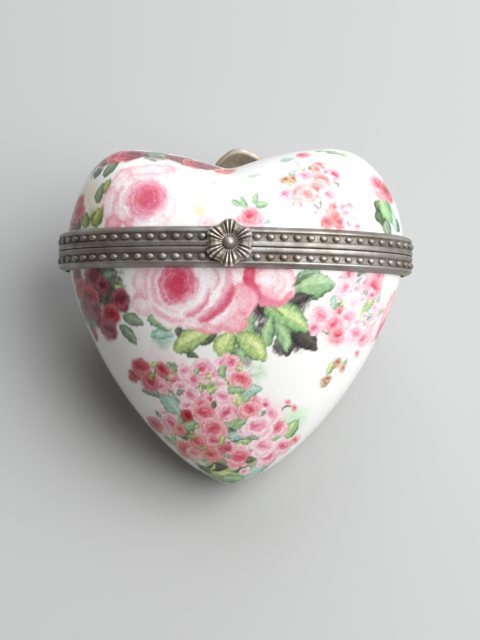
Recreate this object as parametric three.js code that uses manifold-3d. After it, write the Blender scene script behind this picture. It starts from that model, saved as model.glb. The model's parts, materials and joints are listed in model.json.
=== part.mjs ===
// A heart-shaped porcelain trinket box that opens across its upper third.
// Two beaded metal rims meet at the parting plane, a flower clasp sits on the front,
// and a pinned hinge with a flower-headed strap sits on the back.
// The box lies on its back, leaning on its hinge barrel and on a small ground flat.
//
// All sizes are in millimetres. Pieces are drawn in the heart's own frame:
// X across, Y from the tip to the lobes with 0 at the parting plane, Z out of the front.

import * as THREE from "three";
import { mergeVertices } from "three/addons/utils/BufferGeometryUtils.js";
import Module from "manifold-3d";

// Porcelain
const halfWidth = 31.2; // at the parting plane
const halfDepth = 19.5; // at the parting plane
const tipDrop = 42.4; // parting plane to the tip
const leftLobeRise = 19.25; // parting plane to the top of a lobe
const rightLobeRise = 19.8;
const leftLobeOffset = 19.8; // centre plane to the highest point of a lobe
const rightLobeOffset = 17.8;
const cleftRise = 15.9; // parting plane to the bottom of the cleft
const cleftShift = 1.3; // how far left of the centre plane the cleft lies
const cleftRound = 1.5; // softens the bottom of the cleft
const wall = 2.4;

// How full each curve is: 2 is an ellipse, less is more pointed, more is squarer.
const lobeFullness = 2;
const archFullness = 2.1;
const cleftFullness = 1.9;
const frontTaper = 1.5;
const sideTaper = 1.65;

// Metal rims
const partingGap = 0.3; // between the two closed rims
const seat = 0.3; // between two pieces that are glued or soldered together
const rimHeight = 3.6;
const rimStand = 1.5; // how far the plain mouldings stand off the porcelain
const beadChannel = 0.3; // how far the beads' channel is sunk
const channelFoot = 1.15; // parting plane to the near side of the channel
const channelTop = 2.45;
const flange = 0.7; // thickness of the ledge that covers the porcelain's edge
const flangeInset = 0.2; // how far that ledge stops short of the inner wall
const beadCount = 70; // on a full turn of a rim
const beadLength = 1.95;
const beadHeight = 1.25;
const beadDepth = 1.5;

// Clasp on the front
const claspRadius = 4.2;
const claspRise = 0.6; // its centre above the parting plane
const claspThickness = 1.5;
const claspBoss = 1.1; // radius of the centre bead
const petals = 6;
const petalNotch = 0.13; // share of the radius that a notch cuts in

// Hinge on the back
const barrelRadius = 1.5;
const pinRadius = 0.55;
const pinPlay = 0.05;
const lidKnuckle = 5;
const baseKnuckle = 3.7;
const knuckleGap = 0.3;
const pinEnd = 0.3; // how far the pin stands out of each end
const leafThickness = 0.8;
const leafDrop = 4.2; // parting plane to the far edge of the lower leaf
const leafCorner = 1.6;
const leafClear = 0.3; // from a leaf to the other leaf's knuckles

// Strap from the hinge over the back of the lid
const strapHalfWidth = 3;
const strapThickness = 1;
const strapBendRise = 8.5; // height of the corner that the strap's curve rounds off
const strapBow = 0.8; // how far that corner stands back from the leaf
const strapEnd = new THREE.Vector2(21.6, -7.4); // (Y, Z) past the flower's top petal
const strapFlowerRadius = 5.3;
const strapFlowerRise = 15.6;
const strapLean = 2.3; // degrees that the strap leans to the left
const strapFlowerTurn = 8.5; // further degrees that its flower is turned to the left

// Ground flat on the back
const flatDepth = 0.35;

// Fineness of the faceted surfaces
const around = 44;
const lidRows = 8;
const baseRows = 9;
const barrelSides = 16;

const lipLevel = partingGap / 2 + flange + seat; // where the porcelain's edge lies
const strip = halfDepth + rimStand; // front or back of the plain mouldings
const hingeBack = strip + leafClear + barrelRadius; // parting plane's centre to the hinge axis
const hingeHalf = lidKnuckle / 2 + knuckleGap + baseKnuckle;
const barrelFlat = barrelRadius * Math.cos(Math.PI / barrelSides);
const leafFace = -strip - leafClear; // Z of a leaf's inner face
const leafBack = leafFace - leafThickness;
const far = 4 * tipDrop; // larger than the whole box

const wasm = await Module();
wasm.setup();

function solidOf(geometry) {
  const bare = geometry.clone();
  for (const name of Object.keys(bare.attributes)) {
    if (name !== "position") bare.deleteAttribute(name);
  }
  const merged = mergeVertices(bare, 1e-4);
  return new wasm.Manifold(
    new wasm.Mesh({
      numProp: 3,
      vertProperties: new Float32Array(merged.attributes.position.array),
      triVerts: new Uint32Array(merged.index.array),
    }),
  );
}

function geometryOf(solid) {
  const { vertProperties, triVerts } = solid.getMesh();
  const geometry = new THREE.BufferGeometry();
  geometry.setAttribute("position", new THREE.BufferAttribute(vertProperties, 3));
  geometry.setIndex(new THREE.BufferAttribute(triVerts, 1));
  return geometry;
}

// A closed surface from its points and triangles, turned so that its faces point out.
function closedSurface(points, triangles) {
  const sum = triangles.reduce((total, [a, b, c]) => {
    return total + points[a].dot(points[b].clone().cross(points[c]));
  }, 0);
  const outward = triangles.flatMap(([a, b, c]) => (sum > 0 ? [a, b, c] : [a, c, b]));
  const geometry = new THREE.BufferGeometry().setFromPoints(points);
  geometry.setIndex(outward);
  return geometry;
}

// The two triangles of each quad between row a and row b, which start at those indices.
function band(a, b, count) {
  const triangles = [];
  for (let i = 0; i < count; i += 1) {
    const next = (i + 1) % count;
    triangles.push([a + i, a + next, b + next], [a + i, b + next, b + i]);
  }
  return triangles;
}

// Rows of points from one end pole to the other, closed into a skin.
function skin(rows, firstPole, lastPole) {
  const count = rows[0].length;
  const points = [...rows.flat(), firstPole, lastPole];
  const triangles = [];
  for (let row = 0; row + 1 < rows.length; row += 1) {
    triangles.push(...band(row * count, (row + 1) * count, count));
  }
  const last = (rows.length - 1) * count;
  for (let i = 0; i < count; i += 1) {
    const next = (i + 1) % count;
    triangles.push([next, i, rows.length * count]);
    triangles.push([last + i, last + next, rows.length * count + 1]);
  }
  return closedSurface(points, triangles);
}

// The fall of a curve of the given fullness from 1 at 0 to 0 at 1.
function fall(share, fullness) {
  return Math.max(0, 1 - Math.min(1, Math.abs(share)) ** fullness) ** (1 / fullness);
}

// Stations spaced evenly along the mouth's ellipse, each with its angle and outward normal.
function mouthStations(count, phase = 0) {
  const steps = 4000;
  const lengths = [0];
  for (let i = 1; i <= steps; i += 1) {
    const angle = ((i - 0.5) / steps) * 2 * Math.PI;
    const speed = Math.hypot(halfWidth * Math.sin(angle), halfDepth * Math.cos(angle));
    lengths.push(lengths[i - 1] + (speed * 2 * Math.PI) / steps);
  }
  return Array.from({ length: count }, (_, i) => {
    const wanted = (((i + phase) / count) * lengths[steps]) % lengths[steps];
    const step = lengths.findIndex((length) => length >= wanted);
    const angle = (step / steps) * 2 * Math.PI;
    const normal = new THREE.Vector3(halfDepth * Math.cos(angle), 0, halfWidth * Math.sin(angle));
    return { angle, normal: normal.normalize() };
  });
}

// A point that lies outward of the porcelain's mouth at a station, at height y.
function rimPoint(station, outward, y) {
  const mouth = new THREE.Vector3(
    halfWidth * Math.cos(station.angle),
    y,
    halfDepth * Math.sin(station.angle),
  );
  return mouth.addScaledVector(station.normal, outward);
}

// Height of the lid's outline at x, for a surface that lies inset from the outer one.
function lidOutline(x, inset) {
  const isLeft = x < -cleftShift;
  const rise = isLeft ? leftLobeRise : rightLobeRise;
  const offset = isLeft ? leftLobeOffset : rightLobeOffset;
  const top = rise - inset;
  const beyond = Math.abs(x) - offset;
  if (beyond > 0) return top * fall(beyond / (halfWidth - inset - offset), lobeFullness);
  const reach = isLeft ? offset - cleftShift : offset + cleftShift;
  const soft = (s) => Math.hypot(s, cleftRound);
  const share = (soft(reach) - soft(x + cleftShift)) / (soft(reach) - soft(0));
  return top - (rise - cleftRise) * share ** cleftFullness;
}

// A point of the lid, from its mouth at turn 0 to the middle of the cleft at turn 1.
function lidPoint(angle, turn, inset) {
  const reach = Math.cos((turn * Math.PI) / 2);
  const x = (halfWidth - inset) * reach * Math.cos(angle);
  const z = (halfDepth - inset) * reach * Math.sin(angle);
  if (turn === 0) return new THREE.Vector3(x, lipLevel, z);
  const depthHere = (halfDepth - inset) * fall(x / (halfWidth - inset), 2);
  const y = lidOutline(x, inset) * fall(z / depthHere, archFullness);
  return new THREE.Vector3(x, y, z);
}

function baseHalfDepth(drop, inset) {
  return (halfDepth - inset) * fall(drop / (tipDrop - inset), sideTaper);
}

// A point of the base, from its mouth at turn 0 to the tip at turn 1.
function basePoint(angle, turn, inset) {
  const height = tipDrop - inset;
  const first = Math.asin((lipLevel / height) ** (frontTaper / 2));
  const sweep = first + (Math.PI / 2 - first) * turn;
  const drop = height * Math.sin(sweep) ** (2 / frontTaper);
  const width = (halfWidth - inset) * fall(drop / height, frontTaper);
  const depth = baseHalfDepth(drop, inset);
  return new THREE.Vector3(width * Math.cos(angle), -drop, depth * Math.sin(angle));
}

// A thin-walled bowl: the outer skin from pole to lip, then the inner skin from lip to pole.
function bowl(point, rows) {
  const stations = mouthStations(around);
  const ring = (turn, inset) => stations.map(({ angle }) => point(angle, turn, inset));
  const turns = Array.from({ length: rows }, (_, i) => i / rows);
  const outer = turns.map((turn) => ring(turn, 0)).reverse();
  const inner = turns.map((turn) => ring(turn, wall));
  return skin([...outer, ...inner], point(0, 1, 0), point(0, 1, wall));
}

// The lean that brings the hinge barrel and the ground flat on to one floor, in radians.
function restLean() {
  const reach = (lean) => {
    let most = 0;
    for (let drop = 0; drop <= tipDrop; drop += tipDrop / 400) {
      most = Math.max(most, drop * Math.sin(lean) + baseHalfDepth(drop, 0) * Math.cos(lean));
    }
    return most;
  };
  let low = 0;
  let high = Math.PI / 3;
  for (let i = 0; i < 50; i += 1) {
    const middle = (low + high) / 2;
    const barrel = hingeBack * Math.cos(middle) + barrelFlat;
    if (reach(middle) - flatDepth < barrel) low = middle;
    else high = middle;
  }
  return low;
}

const lean = restLean();

// Everything below the floor that the leaning box rests on.
function belowFloor() {
  const slab = new THREE.BoxGeometry(far, far, far);
  slab.translate(0, 0, -far / 2 - barrelFlat);
  slab.rotateX(-lean);
  slab.translate(0, 0, -hingeBack);
  return solidOf(slab);
}

function lidPorcelain() {
  return bowl(lidPoint, lidRows);
}

function basePorcelain() {
  return geometryOf(solidOf(bowl(basePoint, baseRows)).subtract(belowFloor()));
}

// Corners of a rim's section: (distance out from the porcelain, height above the parting plane).
function rimSection() {
  const foot = partingGap / 2;
  const shoulder = rimHeight - foot;
  return [
    [flangeInset - wall, foot],
    [rimStand, foot],
    [rimStand, channelFoot - foot],
    [rimStand - beadChannel, channelFoot],
    [rimStand - beadChannel, channelTop],
    [rimStand, channelTop + foot],
    [rimStand - foot, (channelTop + shoulder) / 2],
    [seat + flange / 2, rimHeight],
    [seat, rimHeight],
    [seat, foot + flange],
    [flangeInset - wall, foot + flange],
  ];
}

// One bead of a rim, lying along it: four-sided and tapering, with a flat turned outward.
function bead(station, side) {
  const ball = new THREE.SphereGeometry(0.5, 4, 3);
  ball.rotateZ(Math.PI / 2);
  ball.rotateX(Math.PI / 4);
  const acrossFlats = Math.sin(Math.PI / 3) * Math.cos(Math.PI / 4);
  ball.scale(beadLength, beadHeight / acrossFlats, beadDepth / acrossFlats);
  ball.rotateY(Math.atan2(station.normal.x, station.normal.z));
  const seated = rimPoint(station, rimStand - beadChannel, (side * (channelFoot + channelTop)) / 2);
  return solidOf(ball.translate(seated.x, seated.y, seated.z));
}

// Beads stop where the clasp covers the front and the hinge covers the back.
function beadShows(station) {
  const across = Math.abs(halfWidth * Math.cos(station.angle));
  const covered = station.normal.z > 0 ? claspRadius : hingeHalf;
  return across > covered + beadLength / 2;
}

// A beaded rim, above the parting plane for side 1 and below it for side -1.
function rim(side) {
  const stations = mouthStations(around);
  const section = rimSection();
  const points = stations.flatMap((station) => {
    return section.map(([outward, y]) => rimPoint(station, outward, side * y));
  });
  const triangles = stations.flatMap((_, i) => {
    const next = (i + 1) % around;
    return band(i * section.length, next * section.length, section.length);
  });
  const plain = solidOf(closedSurface(points, triangles));
  const beads = mouthStations(beadCount, 0.5).filter(beadShows);
  return geometryOf(beads.reduce((whole, station) => whole.add(bead(station, side)), plain));
}

// Distance from a flower's centre to its edge at an angle, with a notch between petals.
function petalEdge(radius, angle) {
  const notch = Math.abs(Math.cos((petals / 2) * angle)) ** 3;
  return radius * (1 - petalNotch * notch);
}

// The cast flower on the front: a dished plate of petals with a bead in the middle.
function claspFlower() {
  const count = petals * 6;
  const profile = [
    [claspBoss * 0.6, claspThickness + claspBoss * 0.8],
    [claspBoss, claspThickness + claspBoss * 0.3],
    [claspBoss * 1.3, claspThickness * 0.55],
    [claspRadius * 0.72, claspThickness],
    [claspRadius * 0.93, claspThickness * 0.8],
    [claspRadius, claspThickness * 0.3],
    [claspRadius * 0.93, 0],
  ];
  const ring = (radius, z) => {
    return Array.from({ length: count }, (_, i) => {
      const angle = (i / count) * 2 * Math.PI;
      const edge = radius > claspRadius / 2 ? petalEdge(radius, angle) : radius;
      return new THREE.Vector3(edge * Math.cos(angle), edge * Math.sin(angle), z);
    });
  };
  const rows = profile.map(([radius, z]) => ring(radius, z));
  const top = new THREE.Vector3(0, 0, claspThickness + claspBoss);
  const flower = skin(rows, top, new THREE.Vector3(0, 0, 0));
  return flower.translate(0, claspRise, strip + seat);
}

// A round bar along X on the hinge axis, with one flat facing the floor.
function barrel(radius, length, x) {
  const bar = new THREE.CylinderGeometry(radius, radius, length, barrelSides);
  bar.rotateZ(Math.PI / 2);
  bar.rotateX(Math.PI / barrelSides - lean);
  return solidOf(bar.translate(x, 0, -hingeBack));
}

// A plate drawn as an outline in X and Y and carried from depth z through a thickness.
function plate(outline, z, thickness) {
  const extrusion = new THREE.ExtrudeGeometry(outline, {
    depth: thickness,
    bevelEnabled: false,
    curveSegments: 5,
  });
  return solidOf(extrusion.translate(0, 0, z));
}

// Half a leaf's outline: square at the parting plane, with round corners at its far edge.
function leafOutline(near, edge, half) {
  const side = Math.sign(edge - near);
  const turned = edge - side * leafCorner;
  const outline = new THREE.Shape();
  outline.moveTo(-half, near);
  outline.lineTo(half, near);
  outline.lineTo(half, turned);
  outline.quadraticCurveTo(half, edge, half - leafCorner, edge);
  outline.lineTo(leafCorner - half, edge);
  outline.quadraticCurveTo(-half, edge, -half, turned);
  return outline;
}

const bore = () => barrel(pinRadius + pinPlay, far, 0);

// The room that the other leaf's knuckle turns in.
function knuckleRoom(length, x) {
  const radius = barrelRadius + leafClear;
  const bar = new THREE.CylinderGeometry(radius, radius, length + 2 * knuckleGap, barrelSides);
  bar.rotateZ(Math.PI / 2);
  return solidOf(bar.translate(x, 0, -hingeBack));
}

const baseKnuckleOffset = lidKnuckle / 2 + knuckleGap + baseKnuckle / 2;

function baseLeaf() {
  const leaf = plate(leafOutline(-partingGap / 2, -leafDrop, hingeHalf), leafBack, leafThickness);
  const knuckles = [-baseKnuckleOffset, baseKnuckleOffset].map((x) => {
    return barrel(barrelRadius, baseKnuckle, x);
  });
  const joined = knuckles.reduce((whole, knuckle) => whole.add(knuckle), leaf);
  return geometryOf(joined.subtract(knuckleRoom(lidKnuckle, 0)).subtract(bore()));
}

// The strap and its flower as they look from the front.
function strapOutline() {
  const outline = new THREE.Shape();
  const steps = petals * 8;
  const turn = THREE.MathUtils.degToRad(strapFlowerTurn) + Math.PI / 2;
  const neck = Math.asin((strapHalfWidth * 0.8) / strapFlowerRadius);
  outline.moveTo(-strapHalfWidth, partingGap);
  outline.lineTo(strapHalfWidth, partingGap);
  for (let i = 0; i <= steps; i += 1) {
    const angle = -Math.PI / 2 + neck + ((2 * Math.PI - 2 * neck) * i) / steps;
    const edge = petalEdge(strapFlowerRadius, angle - turn + Math.PI / petals);
    outline.lineTo(edge * Math.cos(angle), strapFlowerRise + edge * Math.sin(angle));
  }
  return outline;
}

// A curved sheet that runs up the back of the lid, wider than the strap.
function strapSheet() {
  const foot = new THREE.Vector2(partingGap, leafFace - strapThickness / 2);
  const bend = new THREE.Vector2(strapBendRise, foot.y - strapBow);
  const curve = new THREE.QuadraticBezierCurve(foot, bend, strapEnd);
  const steps = 10;
  const edge = (offset) => {
    return Array.from({ length: steps + 1 }, (_, i) => {
      const along = curve.getTangent(i / steps);
      const square = new THREE.Vector2(-along.y, along.x);
      return curve.getPoint(i / steps).addScaledVector(square, offset);
    });
  };
  const section = [...edge(-strapThickness / 2), ...edge(strapThickness / 2).reverse()];
  const sheet = new THREE.ExtrudeGeometry(new THREE.Shape(section), {
    depth: far,
    bevelEnabled: false,
  });
  sheet.translate(0, 0, -far / 2);
  sheet.applyMatrix4(new THREE.Matrix4().makeBasis(
    new THREE.Vector3(0, 1, 0),
    new THREE.Vector3(0, 0, 1),
    new THREE.Vector3(1, 0, 0),
  ));
  return solidOf(sheet);
}

function lidLeaf() {
  const leaf = plate(leafOutline(partingGap / 2, rimHeight, hingeHalf), leafBack, leafThickness);
  const strap = plate(strapOutline(), -far / 2, far / 2);
  const leaning = strap.rotate([0, 0, strapLean]).intersect(strapSheet());
  const rooms = [-baseKnuckleOffset, baseKnuckleOffset].map((x) => knuckleRoom(baseKnuckle, x));
  const joined = leaf.add(leaning).add(barrel(barrelRadius, lidKnuckle, 0));
  return geometryOf(rooms.reduce((whole, room) => whole.subtract(room), joined).subtract(bore()));
}

function hingePin() {
  return geometryOf(barrel(pinRadius, 2 * (hingeHalf + pinEnd), 0));
}

const porcelain = new THREE.MeshStandardMaterial({
  color: 0xf4f1ea,
  roughness: 0.15,
  metalness: 0,
  flatShading: true,
});
const antiqueMetal = new THREE.MeshStandardMaterial({
  color: 0x6f6557,
  roughness: 0.4,
  metalness: 1,
  flatShading: true,
});

function piece(name, geometry, material) {
  const mesh = new THREE.Mesh(geometry, material);
  mesh.name = name;
  return mesh;
}

const base = new THREE.Group();
base.add(
  piece("base_porcelain", basePorcelain(), porcelain),
  piece("base_rim", rim(-1), antiqueMetal),
  piece("hinge_leaf_base", baseLeaf(), antiqueMetal),
  piece("hinge_pin", hingePin(), antiqueMetal),
);

const lid = new THREE.Group();
lid.add(
  piece("lid_porcelain", lidPorcelain(), porcelain),
  piece("lid_rim", rim(1), antiqueMetal),
  piece("clasp_flower", claspFlower(), antiqueMetal),
  piece("hinge_leaf_lid", lidLeaf(), antiqueMetal),
);

// The heart leans back to rest, and the origin is under the middle of the whole box.
const leaning = new THREE.Group();
leaning.add(base, lid);
leaning.rotation.x = lean;
const extent = new THREE.Box3().setFromObject(leaning, true);
const middle = extent.getCenter(new THREE.Vector3());
leaning.position.set(-middle.x, -middle.y, -extent.min.z);

const box = new THREE.Group();
box.add(leaning);

export default box;
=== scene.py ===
"""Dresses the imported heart-shaped box: printed porcelain, antiqued rims, clasp, hinge and strap.

Shapes are in millimetres in the heart's own frame: X across, Y from tip to lobes with 0 at the
parting plane, Z out of the front. place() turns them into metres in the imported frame.
"""

import json
import math

import bmesh
import bpy
import numpy as np
from mathutils import Matrix


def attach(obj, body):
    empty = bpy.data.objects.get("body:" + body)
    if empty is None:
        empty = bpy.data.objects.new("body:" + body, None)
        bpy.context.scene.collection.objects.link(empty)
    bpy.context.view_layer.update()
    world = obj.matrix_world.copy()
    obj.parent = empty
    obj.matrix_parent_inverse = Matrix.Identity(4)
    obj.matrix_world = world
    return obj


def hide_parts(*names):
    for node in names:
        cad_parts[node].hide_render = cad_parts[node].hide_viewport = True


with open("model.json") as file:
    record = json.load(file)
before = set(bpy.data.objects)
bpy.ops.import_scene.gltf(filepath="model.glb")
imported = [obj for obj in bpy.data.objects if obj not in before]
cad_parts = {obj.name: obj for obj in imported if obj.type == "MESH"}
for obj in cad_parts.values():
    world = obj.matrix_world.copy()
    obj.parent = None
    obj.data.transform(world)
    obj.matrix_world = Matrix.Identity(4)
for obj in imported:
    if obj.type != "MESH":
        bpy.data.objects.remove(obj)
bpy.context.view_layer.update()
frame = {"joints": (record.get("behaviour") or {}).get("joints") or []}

# The heart, as the solids have it
HALF_WIDTH = 31.2
HALF_DEPTH = 19.5
TIP_DROP = 42.4
LOBE_RISE = {"left": 19.25, "right": 19.8}
LOBE_OFFSET = {"left": 19.8, "right": 17.8}
CLEFT_RISE = 15.9
CLEFT_SHIFT = 1.3
CLEFT_ROUND = 1.5
LOBE_FULLNESS = 2.0
ARCH_FULLNESS = 2.1
CLEFT_FULLNESS = 1.9
FRONT_TAPER = 1.5
SIDE_TAPER = 1.65
WALL = 2.4
LIP = 1.15
RIM_STAND = 1.5
RIM_HEIGHT = 3.6
BEADS = 70
CLASP_RADIUS = 4.2
CLASP_RISE = 0.6
HINGE_BACK = 22.8
HINGE_HALF = 6.5
METAL_FACE = HALF_DEPTH + RIM_STAND + 0.3
LEAN = math.radians(23.21382)

FULL_TURN = 2 * math.pi
ACROSS = np.array([1.0, 0.0, 0.0])
UP = np.array([0.0, 1.0, 0.0])
FRONT = np.array([0.0, 0.0, 1.0])
OUTWARD = np.array([0.0, -math.sin(LEAN), math.cos(LEAN)])
TURN = np.array([ACROSS, [0.0, math.cos(LEAN), math.sin(LEAN)], OUTWARD])
ORIGIN = np.array(frame["joints"][0]["pos_m"]) * 1000 + HINGE_BACK * OUTWARD


def place(points):
    """Points of the heart's frame in millimetres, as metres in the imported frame."""
    return (np.asarray(points, float) @ TURN + ORIGIN) / 1000


def unit(vector):
    return vector / np.linalg.norm(vector)


def bearings(count):
    """A row of bearings evenly spaced round a full turn."""
    return np.arange(count)[None, :] * FULL_TURN / count


def turned(across, up, angle):
    """Coordinates along an axis at the given angle and aside from it."""
    cosine, sine = math.cos(angle), math.sin(angle)
    return across * cosine + up * sine, up * cosine - across * sine


def fall(share, fullness):
    """The fall of a curve of the given fullness from 1 at 0 to 0 at 1."""
    return np.maximum(0, 1 - np.minimum(1, np.abs(share)) ** fullness) ** (1 / fullness)


def smooth(value):
    """Eases a share from 0 to 1."""
    share = np.clip(value, 0, 1)
    return share * share * (3 - 2 * share)


def waves(points, size, seed):
    """Smooth noise of about -1 to 1 with features of the given size."""
    random = np.random.default_rng(seed)
    total = 0
    for _ in range(7):
        direction = random.normal(size=3)
        direction *= random.uniform(0.7, 1.5) / np.linalg.norm(direction)
        total = total + np.sin(points @ direction * FULL_TURN / size + random.uniform(0, 6.3))
    return total / 3.2


# The mouth's ellipse

def mouth_angles(count, back_share=1.0):
    """Angles evenly spaced along the mouth, sparser at the back by back_share."""
    fine = np.linspace(0, FULL_TURN, 20001)
    speed = np.hypot(HALF_WIDTH * np.sin(fine), HALF_DEPTH * np.cos(fine))
    density = back_share + (1 - back_share) * smooth(np.sin(fine) * 2 + 0.9)
    travel = np.concatenate([[0], np.cumsum((speed * density)[1:])])
    return np.interp(np.arange(count) / count * travel[-1], travel, fine)


def mouth_normal(angle):
    normal = np.stack([HALF_DEPTH * np.cos(angle), 0 * angle, HALF_WIDTH * np.sin(angle)], -1)
    return normal / np.linalg.norm(normal, axis=-1, keepdims=True)


def rim_point(angle, out, y):
    """Points that lie out from the porcelain's mouth by out, at height y."""
    angle, out, y = np.broadcast_arrays(np.asarray(angle, float), out, y)
    mouth = np.stack([HALF_WIDTH * np.cos(angle), y, HALF_DEPTH * np.sin(angle)], -1)
    return mouth + mouth_normal(angle) * out[..., None]


# Porcelain surfaces

def lid_outline(x, inset):
    """Height of the lid's lobes and cleft above the parting plane."""
    left = x < -CLEFT_SHIFT
    rise = np.where(left, LOBE_RISE["left"], LOBE_RISE["right"])
    offset = np.where(left, LOBE_OFFSET["left"], LOBE_OFFSET["right"])
    top = rise - inset
    beyond = (np.abs(x) - offset) / (HALF_WIDTH - inset - offset)
    reach = np.where(left, offset - CLEFT_SHIFT, offset + CLEFT_SHIFT)
    span = np.hypot(reach, CLEFT_ROUND)
    here = np.minimum(np.hypot(x + CLEFT_SHIFT, CLEFT_ROUND), span)
    share = (span - here) / (span - CLEFT_ROUND)
    dip = top - (rise - CLEFT_RISE) * share**CLEFT_FULLNESS
    return np.where(beyond > 0, top * fall(np.maximum(beyond, 0), LOBE_FULLNESS), dip)


def lid_surface(angle, turn, inset):
    """A point of the lid, from its mouth at turn 0 to the middle of the cleft at turn 1."""
    reach = np.cos(turn * math.pi / 2)
    x = (HALF_WIDTH - inset) * reach * np.cos(angle)
    z = (HALF_DEPTH - inset) * reach * np.sin(angle)
    depth = np.maximum((HALF_DEPTH - inset) * fall(x / (HALF_WIDTH - inset), 2), 1e-6)
    y = np.maximum(lid_outline(x, inset) * fall(z / depth, ARCH_FULLNESS), LIP)
    return np.stack([x, y, z], -1)


def base_surface(angle, turn, inset):
    """A point of the base, from its mouth at turn 0 to the tip at turn 1."""
    height = TIP_DROP - inset
    first = math.asin((LIP / height) ** (FRONT_TAPER / 2))
    drop = height * np.sin(first + (math.pi / 2 - first) * turn) ** (2 / FRONT_TAPER)
    x = (HALF_WIDTH - inset) * fall(drop / height, FRONT_TAPER) * np.cos(angle)
    z = (HALF_DEPTH - inset) * fall(drop / height, SIDE_TAPER) * np.sin(angle)
    return np.stack(np.broadcast_arrays(x, -drop, z), -1)


def even_turns(surface, count):
    """Turns that step evenly along the surface, measured on its front right."""
    fine = np.linspace(0, 1, 3001)
    line = surface(np.full(3001, 1.0), fine, 0)
    travel = np.concatenate([[0], np.cumsum(np.linalg.norm(np.diff(line, axis=0), axis=1))])
    return np.interp(np.linspace(0, travel[-1], count + 1)[:-1], travel, fine)


# Meshes

def grid_faces(rows, columns, start=0, looped=False):
    """Quads between rows of points, each row a closed ring; looped joins the last row to the first."""
    row, column = np.mgrid[0:rows if looped else rows - 1, 0:columns]
    here = row * columns + column
    beside = row * columns + (column + 1) % columns
    count = rows * columns
    quads = np.stack([here, beside, (beside + columns) % count, (here + columns) % count], -1)
    return start + quads.reshape(-1, 4)


def fan_faces(start, columns, pole):
    """Triangles from a closed row to its pole."""
    here = start + np.arange(columns)
    beside = start + (np.arange(columns) + 1) % columns
    return np.stack([here, beside, np.full(columns, pole)], -1)


def stitch_faces(first, first_angles, second, second_angles):
    """Triangles between two closed rows of different counts, each from angle 0 to a full turn."""
    faces = []
    first_count, second_count = len(first_angles), len(second_angles)
    first_ends = np.append(first_angles[1:], FULL_TURN)
    second_ends = np.append(second_angles[1:], FULL_TURN)
    i = j = 0
    while i < first_count or j < second_count:
        here, there = first + i % first_count, second + j % second_count
        if j == second_count or (i < first_count and first_ends[i] <= second_ends[j]):
            faces.append((here, first + (i + 1) % first_count, there))
            i += 1
        else:
            faces.append((here, second + (j + 1) % second_count, there))
            j += 1
    return np.array(faces)


def capped(grid):
    """A part: the points and face arrays of a closed skin over rings of points, capped at both ends."""
    rows, columns = grid.shape[:2]
    count = rows * columns
    points = np.concatenate([grid.reshape(-1, 3), [grid[0].mean(0), grid[-1].mean(0)]])
    first, last = fan_faces(0, columns, count), fan_faces(count - columns, columns, count + 1)
    return points, [grid_faces(rows, columns), first, last]


def join(parts):
    """Several parts as one."""
    starts = np.cumsum([0] + [len(points) for points, _ in parts])
    faces = [array + start for (_, arrays), start in zip(parts, starts) for array in arrays]
    return np.concatenate([points for points, _ in parts]), faces


def make(name, part, body, node, material):
    """A smooth piece from a part, riding on a body.

    What would reach below the floor is ground flat, as the back of the real base is.
    """
    points, faces = part
    placed = place(points)
    placed[:, 2] = np.maximum(placed[:, 2], 0)
    mesh = bpy.data.meshes.new(name)
    mesh.from_pydata(placed.tolist(), [], [face for array in faces for face in array.tolist()])
    mesh.validate()
    outward = bmesh.new()
    outward.from_mesh(mesh)
    bmesh.ops.recalc_face_normals(outward, faces=outward.faces)
    outward.to_mesh(mesh)
    outward.free()
    mesh.shade_smooth()
    mesh.materials.append(material)
    piece = bpy.data.objects.new(name, mesh)
    bpy.context.scene.collection.objects.link(piece)
    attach(piece, body)
    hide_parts(node)
    return piece


def metal_piece(name, part, wear_and_painted_light, body, node, material):
    """A metal piece with its rubbing, and on some pieces painted highlight and shade, stored per point."""
    piece = make(name, part, body, node, material)
    attribute = piece.data.attributes.new("wear_and_painted_light", "FLOAT", "POINT")
    attribute.data.foreach_set("value", np.clip(wear_and_painted_light, 0, 1).astype(np.float32))


# Colours of the print, as display colours of 0 to 255

# Washes and brush marks; the cream wash is painted warm shade, not ink of the print
INK = {
    "black": (74, 64, 68), "dark": (84, 92, 74), "olive": (150, 156, 104), "haze": (206, 226, 200),
    "sky": (205, 236, 238), "mint": (190, 232, 190), "teal": (156, 190, 176), "blush": (246, 208, 216),
    "crimson": (214, 92, 118), "rose": (226, 136, 158), "pink": (240, 184, 198), "white": (253, 246, 248),
    "peach": (252, 222, 190), "cream": (240, 226, 196),
}
# Roses: outer edge, petal, shade, heart
ROSE = {
    "grand": ((251, 236, 239), (240, 190, 203), (226, 132, 156), (208, 78, 104)),
    "soft": ((253, 242, 245), (246, 206, 217), (235, 160, 180), (222, 116, 138)),
    "rose": ((250, 210, 215), (238, 162, 172), (223, 110, 128), (203, 66, 86)),
    "pink": ((252, 226, 232), (242, 182, 196), (228, 130, 152), (206, 72, 102)),
    "pale": ((254, 240, 243), (247, 210, 219), (237, 168, 186), (220, 110, 138)),
    "mist": ((253, 243, 245), (249, 228, 232), (246, 212, 220), (240, 190, 202)),
    "salmon": ((250, 222, 220), (243, 188, 184), (232, 146, 148), (216, 96, 106)),
    "coral": ((242, 190, 186), (230, 146, 144), (214, 106, 110), (188, 62, 72)),
    "red": ((226, 158, 164), (208, 108, 118), (186, 70, 86), (150, 40, 60)),
    "ruby": ((214, 120, 122), (192, 72, 80), (166, 40, 52), (124, 24, 36)),
    "wine": ((186, 122, 132), (154, 78, 92), (124, 48, 64), (90, 30, 44)),
    "brown": ((232, 206, 182), (204, 160, 134), (168, 112, 94), (122, 74, 62)),
}
# What shows between a small rose's petals and its neighbours
SHADE = {
    "rose": (150, 96, 92), "pink": (178, 128, 124), "pale": (200, 160, 156), "mist": (240, 214, 220),
    "salmon": (206, 150, 142), "coral": (166, 98, 90), "red": (104, 58, 54), "ruby": (80, 40, 40),
    "wine": (78, 46, 48), "brown": (120, 92, 70),
}
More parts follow.
